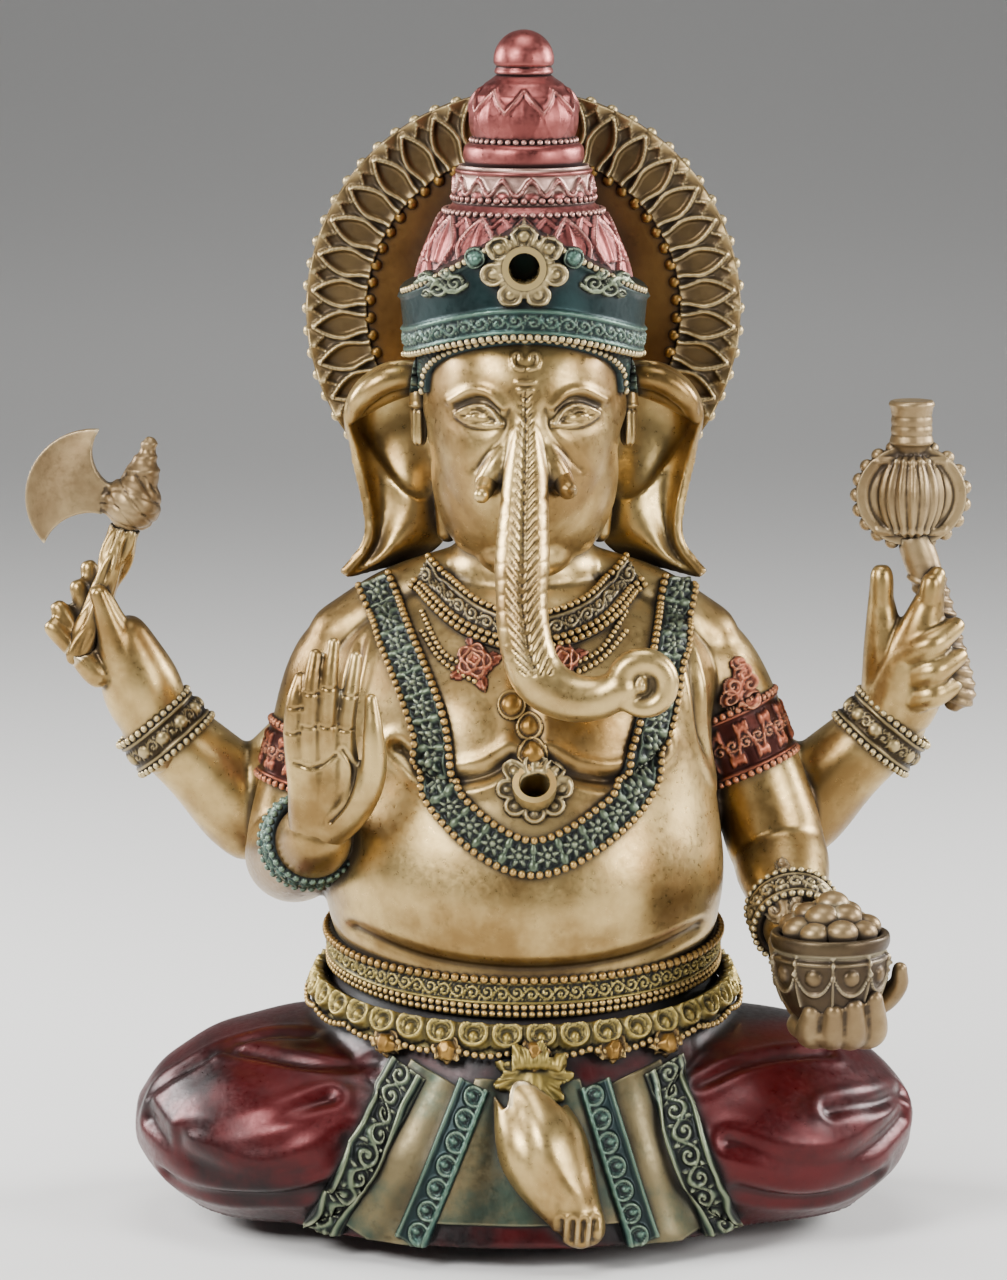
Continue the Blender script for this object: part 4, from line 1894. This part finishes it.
@dataclass
class FrontArms:
    """Blessing hand, bowl hand, armlets, bracelets and the bowl of sweets."""

    right_shoulder: tuple = (-32.0, 2.0, 94.0)
    right_elbow: tuple = (-42.0, 1.0, 60.0)
    right_wrist: tuple = (-36.5, -29.0, 69.0)
    left_shoulder: tuple = (32.0, 2.0, 94.0)
    left_elbow: tuple = (46.5, 0.0, 60.0)
    left_wrist: tuple = (48.5, -23.0, 50.0)
    bowl_radius: float = 10.2
    bowl_height: float = 17.0
    sweet: float = 2.75

    def build(self) -> None:
        """Make the pieces of the front arms."""
        cuffs = (
            Cuff("right_armlet", between(self.right_shoulder, self.right_elbow, 0.34),
                 between(self.right_shoulder, self.right_elbow, 0.66), 9.2, 8.9, RED_COPPER,
                 Slot.COPPER),
            Cuff("left_armlet", between(self.left_shoulder, self.left_elbow, 0.22),
                 between(self.left_shoulder, self.left_elbow, 0.56), 9.6, 9.0, RED_COPPER,
                 Slot.COPPER),
            Cuff("right_front_bracelet", between(self.right_elbow, self.right_wrist, 0.62),
                 between(self.right_elbow, self.right_wrist, 0.86), 7.2, 6.6, TEAL_PLAIN,
                 Slot.GREEN),
            Cuff("left_front_bracelet", between(self.left_elbow, self.left_wrist, 0.66),
                 between(self.left_elbow, self.left_wrist, 0.94), 6.8, 6.2, BRONZE, Slot.BRONZE),
        )
        for cuff in cuffs:
            cuff.build()
        self.crests()
        self.blessing_hand()
        self.bowl_hand()
        self.bowl()
        self.sweets()

    def crests(self) -> None:
        """Stand a leaf crest on the armlets and lay one on the left wrist."""
        around = surface(*cad("left_armlet", "left_front_arm", "right_armlet", "right_front_arm"))
        for word, x, z, half, tall in (("left", 38.6, 92.4, 3.6, 9.5),
                                       ("right", -38.8, 88.5, 3.2, 7.0)):
            piece = ornament(f"{word}_armlet_crest", (x, z), (half + 0.4, tall / 2 + 0.2), around,
                             curled(half, tall), step=0.22)
            dressed(piece, RED_COPPER, Slot.COPPER)
        wrist = ornament("wrist_leaf", (46.6, 57.0), (3.6, 5.2), around, curled(3.4, 10.0),
                         step=0.22)
        dressed(wrist, STONE_BRONZE, Slot.BRONZE)

    def blessing_hand(self) -> None:
        """Shape the raised open hand."""
        heel = (-36.6, -29.5, 69.0)
        fingers = (((-38.4, -34.6, 79), (-40.3, -36.8, 88), (-40.0, -37.4, 94),
                    (-39.0, -36.6, 98.0)),
                   ((-36.9, -35.2, 79), (-37.5, -37.6, 89), (-37.1, -38.2, 96.5),
                    (-36.3, -37.4, 102.2)),
                   ((-34.4, -35.4, 79), (-34.3, -37.8, 89), (-33.8, -38.4, 97.5),
                    (-33.1, -37.6, 104.2)),
                   ((-31.8, -35.0, 79), (-31.0, -37.4, 88.5), (-30.1, -37.8, 95.5),
                    (-29.2, -37.0, 101.7)))
        volumes = [roll([heel, *spots], (5.2, 3.3, 1.95, 1.7, 1.35)) for spots in fingers]
        volumes.append(roll([heel, (-29.8, -35.5, 75), (-26.4, -38.2, 81.5), (-26.2, -39.6, 88.5),
                             (-26.6, -39.4, 94.6)], (4.8, 3.6, 2.7, 2.1, 1.4)))
        volumes.append(lump((-35.4, -34.0, 80.0), (6.2, 3.4, 8.5)))
        hand = casting("blessing_hand", (), 0.3, 4, extra=volumes)
        clay = Clay(hand)
        clay.swell((-34.6, 82.0), (3.0, 3.4), -0.7, flat=True)
        clay.crease([(-31.6, 85.6), (-29.6, 82.0), (-31.0, 76.5), (-33.8, 72.6)], 0.32, 0.4,
                    flat=True)
        clay.crease([(-40.2, 83.2), (-36.4, 82.4), (-32.8, 84.6)], 0.28, 0.26, flat=True)
        for spots in fingers:
            for share in (0.05, 0.5):
                x, z = (spots[1][k] + (spots[3][k] - spots[1][k]) * share for k in (0, 2))
                clay.crease([(x - 1.2, z + 0.1), (x, z - 0.1), (x + 1.2, z + 0.1)], 0.22, 0.2,
                            flat=True)
        clay.settle(1)
        dressed(hand, GOLD_SKIN, Slot.GOLD, "right_front_hand")

    def bowl_hand(self) -> None:
        """Shape the hand under the bowl."""
        wrist = (48.6, -24.0, 49.0)
        volumes = [roll([wrist, (49.5, -30.0, 42.0), (52.5, -35.0, 36.4)], (5.6, 5.0, 4.2)),
                   lump((54.0, -37.0, 36.4), (8.2, 9.0, 3.8)),
                   roll([(52, -30, 38), (61.5, -33.0, 39.5), (65.4, -36.5, 43.2),
                         (65.8, -38.0, 46.6)],
                        (3.4, 2.8, 2.1, 1.6))]
        for x, y, z in ((50.0, -45.4, 40.4), (53.8, -46.6, 40.8), (57.4, -46.4, 41.6),
                        (60.9, -44.6, 42.6)):
            volumes.append(roll([(x * 0.5 + 27.0, -38.0, 35.4), (x, y + 3.6, 36.2), (x, y, z)],
                                (3.2, 2.9, 1.9)))
        hand = casting("bowl_hand", (), 0.34, 4, extra=volumes)
        dressed(hand, STONE_BRONZE, Slot.GOLD, "left_front_hand")

    def bowl(self) -> None:
        """Turn the bowl with its rolled lip and a row of arches."""
        low, high = low_high("sweet_bowl")
        centre = ((low[0] + high[0]) / 2, (low[1] + high[1]) / 2)
        rim, r, tall = high[2], self.bowl_radius, self.bowl_height
        profile = [(0.3, rim - tall), (r * 0.35, rim - tall), (r * 0.72, rim - tall * 0.78),
                   (r * 0.92, rim - tall * 0.5), (r * 0.96, rim - tall * 0.25),
                   (r * 0.93, rim - 3.4),
                   (r * 1.0, rim - 2.4), (r * 1.03, rim - 1.2), (r, rim), (r * 0.86, rim - 0.4),
                   (r * 0.84, rim - 3.0)]
        sheet = turned(centre, profile, 0.3)
        z = sheet.points[..., 2]
        out = np.hypot(sheet.points[..., 0] - centre[0], sheet.points[..., 1] - centre[1])
        side = (z < rim - 3.0) & (out > r * 0.4)
        arc = cells(sheet.angles * 9 / FULL_TURN, 1.0) * 2
        arch_z = rim - 4.4 - 5.2 * np.sqrt(np.clip(1 - arc**2, 0, 1))
        height = side * (0.75 * ridge(z - arch_z, 0.42)
                         + 0.7 * dome(np.hypot(arc * 3.2, z - rim + 6.6), 1.5)
                         + 0.45 * ridge(z - rim + 4.2, 0.35))
        height = height + side * 0.6 * ridge(np.abs(arc) - 1.0, 0.08) * (z > rim - 12)
        dressed(sheet.relief("bowl_body", height, sink=0.9), STONE_BRONZE, Slot.BRONZE,
                "sweet_bowl")

    def sweets(self) -> None:
        """Heap round sweets in the bowl, each a little different."""
        low, high = low_high("sweet_bowl")
        x, y, rim = (low[0] + high[0]) / 2, (low[1] + high[1]) / 2, high[2]
        rng = np.random.default_rng(7)
        spots = []
        for ring, count, rise, turn in ((6.3, 9, 0.9, 0.1), (3.4, 5, 3.0, 0.5), (0.6, 1, 4.6, 0.0)):
            for k in range(count):
                angle = turn + FULL_TURN * k / count
                spots.append((x + ring * math.cos(angle), y + ring * math.sin(angle), rim + rise))
        centres = np.array(spots) + rng.normal(0, 0.18, (len(spots), 3))
        radii = self.sweet * rng.uniform(0.9, 1.08, len(spots))
        heap = beads("sweet_heap", centres, radii, np.array((1.08, 1.0, 0.86)), rings=4)
        dressed(heap, STONE_BRONZE, Slot.BRONZE, "sweets")
        bed = turned((x, y), [(0.3, rim + 1.2), (5.0, rim + 0.6), (8.9, rim - 1.4)], 0.5)
        dressed(bed.relief("sweet_bed", 0.0, sink=0.8), STONE_BRONZE, Slot.BRONZE)


@dataclass
class RearArms:
    """Rear hands with the axe and the mace, and their studded bracelets."""

    wrist_x: float = 66.6
    wrist_y: float = 11.0
    wrist_z: float = 82.0
    hub: tuple = (-70.6, 8.0, 123.0)
    gourd: tuple = (70.0, 8.0, 124.5)
    flange: float = 10.0

    def build(self) -> None:
        """Make the pieces of the rear arms."""
        for side, word in SIDES:
            wrist = (side * self.wrist_x, self.wrist_y, self.wrist_z)
            start = (wrist[0] - side * 3.6, wrist[1], wrist[2] - 3.9)
            end = (wrist[0] + side * 1.0, wrist[1], wrist[2] + 1.6)
            Cuff(f"{word}_rear_bracelet", start, end, 7.2, 6.8, BRONZE, Slot.BRONZE, 4.4,
                 True).build()
            if side < 0:
                volumes = [roll([(-65.6, 10, 79), (-69.6, 8.6, 88), (-72.6, 6.5, 95),
                                 (-75.0, 4.6, 102),
                                 (-76.6, 3.8, 107)], (6.4, 6.0, 4.6, 2.7, 1.8))]
            else:
                volumes = [roll([(65.8, 10.5, 80), (69.0, 7.6, 91), (72.0, 5.0, 101),
                                 (74.6, 4.6, 110.4)],
                                (6.4, 6.2, 4.2, 1.9)),
                           roll([(66.0, 10.5, 84), (65.4, 8.0, 97), (64.4, 7.4, 110.0)],
                                (5.0, 4.0, 1.9))]
            hand = casting(f"{word}_rear_hand_cast", (f"{word}_rear_hand",), 0.36, 10,
                           extra=volumes)
            dressed(hand, GOLD_SKIN, Slot.GOLD, f"{word}_rear_hand")
        self.axe()
        self.mace()

    def axe(self) -> None:
        """Shape the axe's blade, knurled hub, spike and wrapped shaft."""
        blade = casting("axe_head", ("axe_blade",), 0.34, 4)
        clay = Clay(blade)
        x, z = clay.points[:, 0] - self.hub[0], clay.points[:, 2] - self.hub[2]
        r = np.hypot(x, z)
        edge = eased(10.5, 17.5, r) * (x < -2)
        clay.points[:, 1] += (self.hub[1] - clay.points[:, 1]) * 0.62 * edge
        angle = np.arctan2(clay.points[:, 1] - self.hub[1], z)
        on_hub = (r < 5.9) * (np.abs(x) < 6)
        clay.push(on_hub * ridge(cells(x * 0.8 + z * 0.6 + 10, 3.1), 0.4), -0.3)
        clay.push(on_hub * ridge(cells(angle * 1.4 + x * 0.1, 1.0), 0.10), -0.2)
        clay.push((z > 5.5) * (x > -1.0) * ridge(cells(z, 2.4), 0.5), 0.35)
        clay.settle(1)
        dressed(blade, STONE_BRONZE, Slot.BRONZE, "axe_blade")
        shaft = casting("axe_handle", ("axe_shaft",), 0.32, 4)
        clay = Clay(shaft)
        z = clay.points[:, 2]
        axis_x = np.interp(z, (95, 108, 119), (-80.6, -75.6, -71.6))
        around = np.arctan2(clay.points[:, 1] - 6.5, clay.points[:, 0] - axis_x)
        clay.push(np.cos(around * 4 + z * 0.55) + 0.4 * np.cos(around * 7 - z * 0.3), 0.35)
        clay.settle()
        dressed(shaft, GOLD_SKIN, Slot.GOLD, "axe_shaft")

    def mace(self) -> None:
        """Shape the mace's ribbed gourd, beaded flange, tube and ridged shaft."""
        head = casting("mace_gourd", ("mace_head",), 0.34, 3)
        clay = Clay(head)
        x, y, z = (clay.points[:, k] - self.gourd[k] for k in range(3))
        angle = np.arctan2(x, -y)
        inside = (np.abs(z) < 7.2) & (np.hypot(x, y) < 6.6)
        clay.push(inside * (0.5 + 0.5 * np.cos(angle * 16)), 0.55)
        clay.push(inside * ridge(np.abs(z) - 6.2, 0.5), 0.5)
        tube = z > 8.5
        clay.push(tube * ridge(z - 9.6, 0.5), 0.5)
        clay.push(tube * ridge(z - 16.4, 0.6), 0.55)
        clay.push(tube * ridge(cells(z, 1.7), 0.3), -0.15)
        r = np.hypot(x, z / 0.92)
        clay.push((np.abs(y) > 1.0) * (np.abs(y) < 2.4) * ridge(r - 7.6, 0.5), -0.4)
        clay.settle(1)
        dressed(head, STONE_BRONZE, Slot.BRONZE, "mace_head")
        spots = []
        for start, stop, count in ((200, 340, 9), (22, 160, 8)):
            for angle in np.radians(np.linspace(start, stop, count)):
                spots.append((self.gourd[0] + self.flange * 0.97 * math.sin(angle), self.gourd[1],
                              self.gourd[2] + self.flange * 0.90 * math.cos(angle)))
        dressed(beads("mace_beads", np.array(spots), 1.35, rings=3), STONE_BRONZE, Slot.BRONZE)
        shaft = casting("mace_handle", ("mace_shaft",), 0.32, 3)
        clay = Clay(shaft)
        z = clay.points[:, 2]
        clay.push(ridge(cells(z + 0.35 * clay.points[:, 0], 1.9), 0.5) * (z < 110), 0.45)
        clay.settle()
        dressed(shaft, STONE_BRONZE, Slot.BRONZE, "mace_shaft")


# ------------------------------------------------------------------ studio


@dataclass
class Studio:
    """Pale floor, soft lights and the camera."""

    elevation: float = 8.5
    distance: float = 1100.0
    target: tuple = (-3.6, 0.0, 99.2)
    lens: float = 171.9

    def build(self) -> None:
        """Set up the studio."""
        self.camera()
        self.floor()
        for name, place, size, power in (
            ("key_light", (-460, -560, 520), 340, 9.5),
            ("fill_light", (600, -460, 300), 300, 4.6),
            ("top_light", (0, -80, 800), 380, 3.0),
            ("left_rim_light", (-560, 160, 300), 240, 6.5),
            ("right_rim_light", (560, 160, 300), 240, 6.5),
        ):
            self.light(name, place, size, power)
        world = bpy.data.worlds.new("studio_air")
        world.use_nodes = True
        world.node_tree.nodes["Background"].inputs["Color"].default_value = (0.8, 0.82, 0.85, 1)
        world.node_tree.nodes["Background"].inputs["Strength"].default_value = 0.16
        bpy.context.scene.world = world

    def camera(self) -> None:
        """Place the camera."""
        tilt = math.radians(self.elevation)
        data = bpy.data.cameras.new("camera")
        data.lens = self.lens
        data.clip_start, data.clip_end = 0.05, 20
        camera = bpy.data.objects.new("camera", data)
        bpy.context.scene.collection.objects.link(camera)
        target = Vector(self.target)
        offset = Vector((0, -math.cos(tilt), math.sin(tilt))) * self.distance
        camera.location = (target + offset) * MM
        camera.rotation_euler = (-offset).to_track_quat("-Z", "Y").to_euler()
        bpy.context.scene.camera = camera

    def light(self, name: str, place: Place, size: float, power: float) -> None:
        """Add one square soft light aimed at the idol."""
        data = bpy.data.lights.new(name, "AREA")
        data.size = size * MM
        data.energy = power
        lamp = bpy.data.objects.new(name, data)
        bpy.context.scene.collection.objects.link(lamp)
        lamp.location = Vector(place) * MM
        aim = Vector(self.target) - Vector(place)
        lamp.rotation_euler = aim.to_track_quat("-Z", "Y").to_euler()

    def floor(self) -> None:
        """Lay a pale floor that curves up into a backdrop."""
        profile = [(-2500.0, 0.0), (500.0, 0.0), (1300.0, 60.0), (1900.0, 300.0), (2300.0, 800.0),
                   (2400.0, 2600.0)]
        curve = smooth_line(profile, 60.0)
        points = [(x, y, z) for x in (-2500.0, 2500.0) for y, z in curve]
        count = len(curve)
        faces = [(k, k + count, k + count + 1, k + 1) for k in range(count - 1)]
        sheet = made_mesh("floor", np.array(points) - np.array((0, 0, 0.02)), faces)
        paint = bpy.data.materials.new("pale_floor")
        paint.use_nodes = True
        shader = paint.node_tree.nodes["Principled BSDF"]
        shader.inputs["Base Color"].default_value = (0.78, 0.77, 0.75, 1)
        shader.inputs["Roughness"].default_value = 0.7
        sheet.data.materials.append(paint)
        for face in sheet.data.polygons:
            face.use_smooth = True


def main() -> None:
    """Build the idol piece by piece, then the studio."""
    logging.basicConfig(level=logging.INFO, format="%(message)s")
    Studio().build()
    Seat().build()
    Body().build()
    Girdle().build()
    Head().build()
    Crown().build()
    Halo().build()
    FrontArms().build()
    RearArms().build()
    kept_node("locating_dowels", STEEL)
    bpy.context.view_layer.update()


if __name__ == "__main__":
    main()
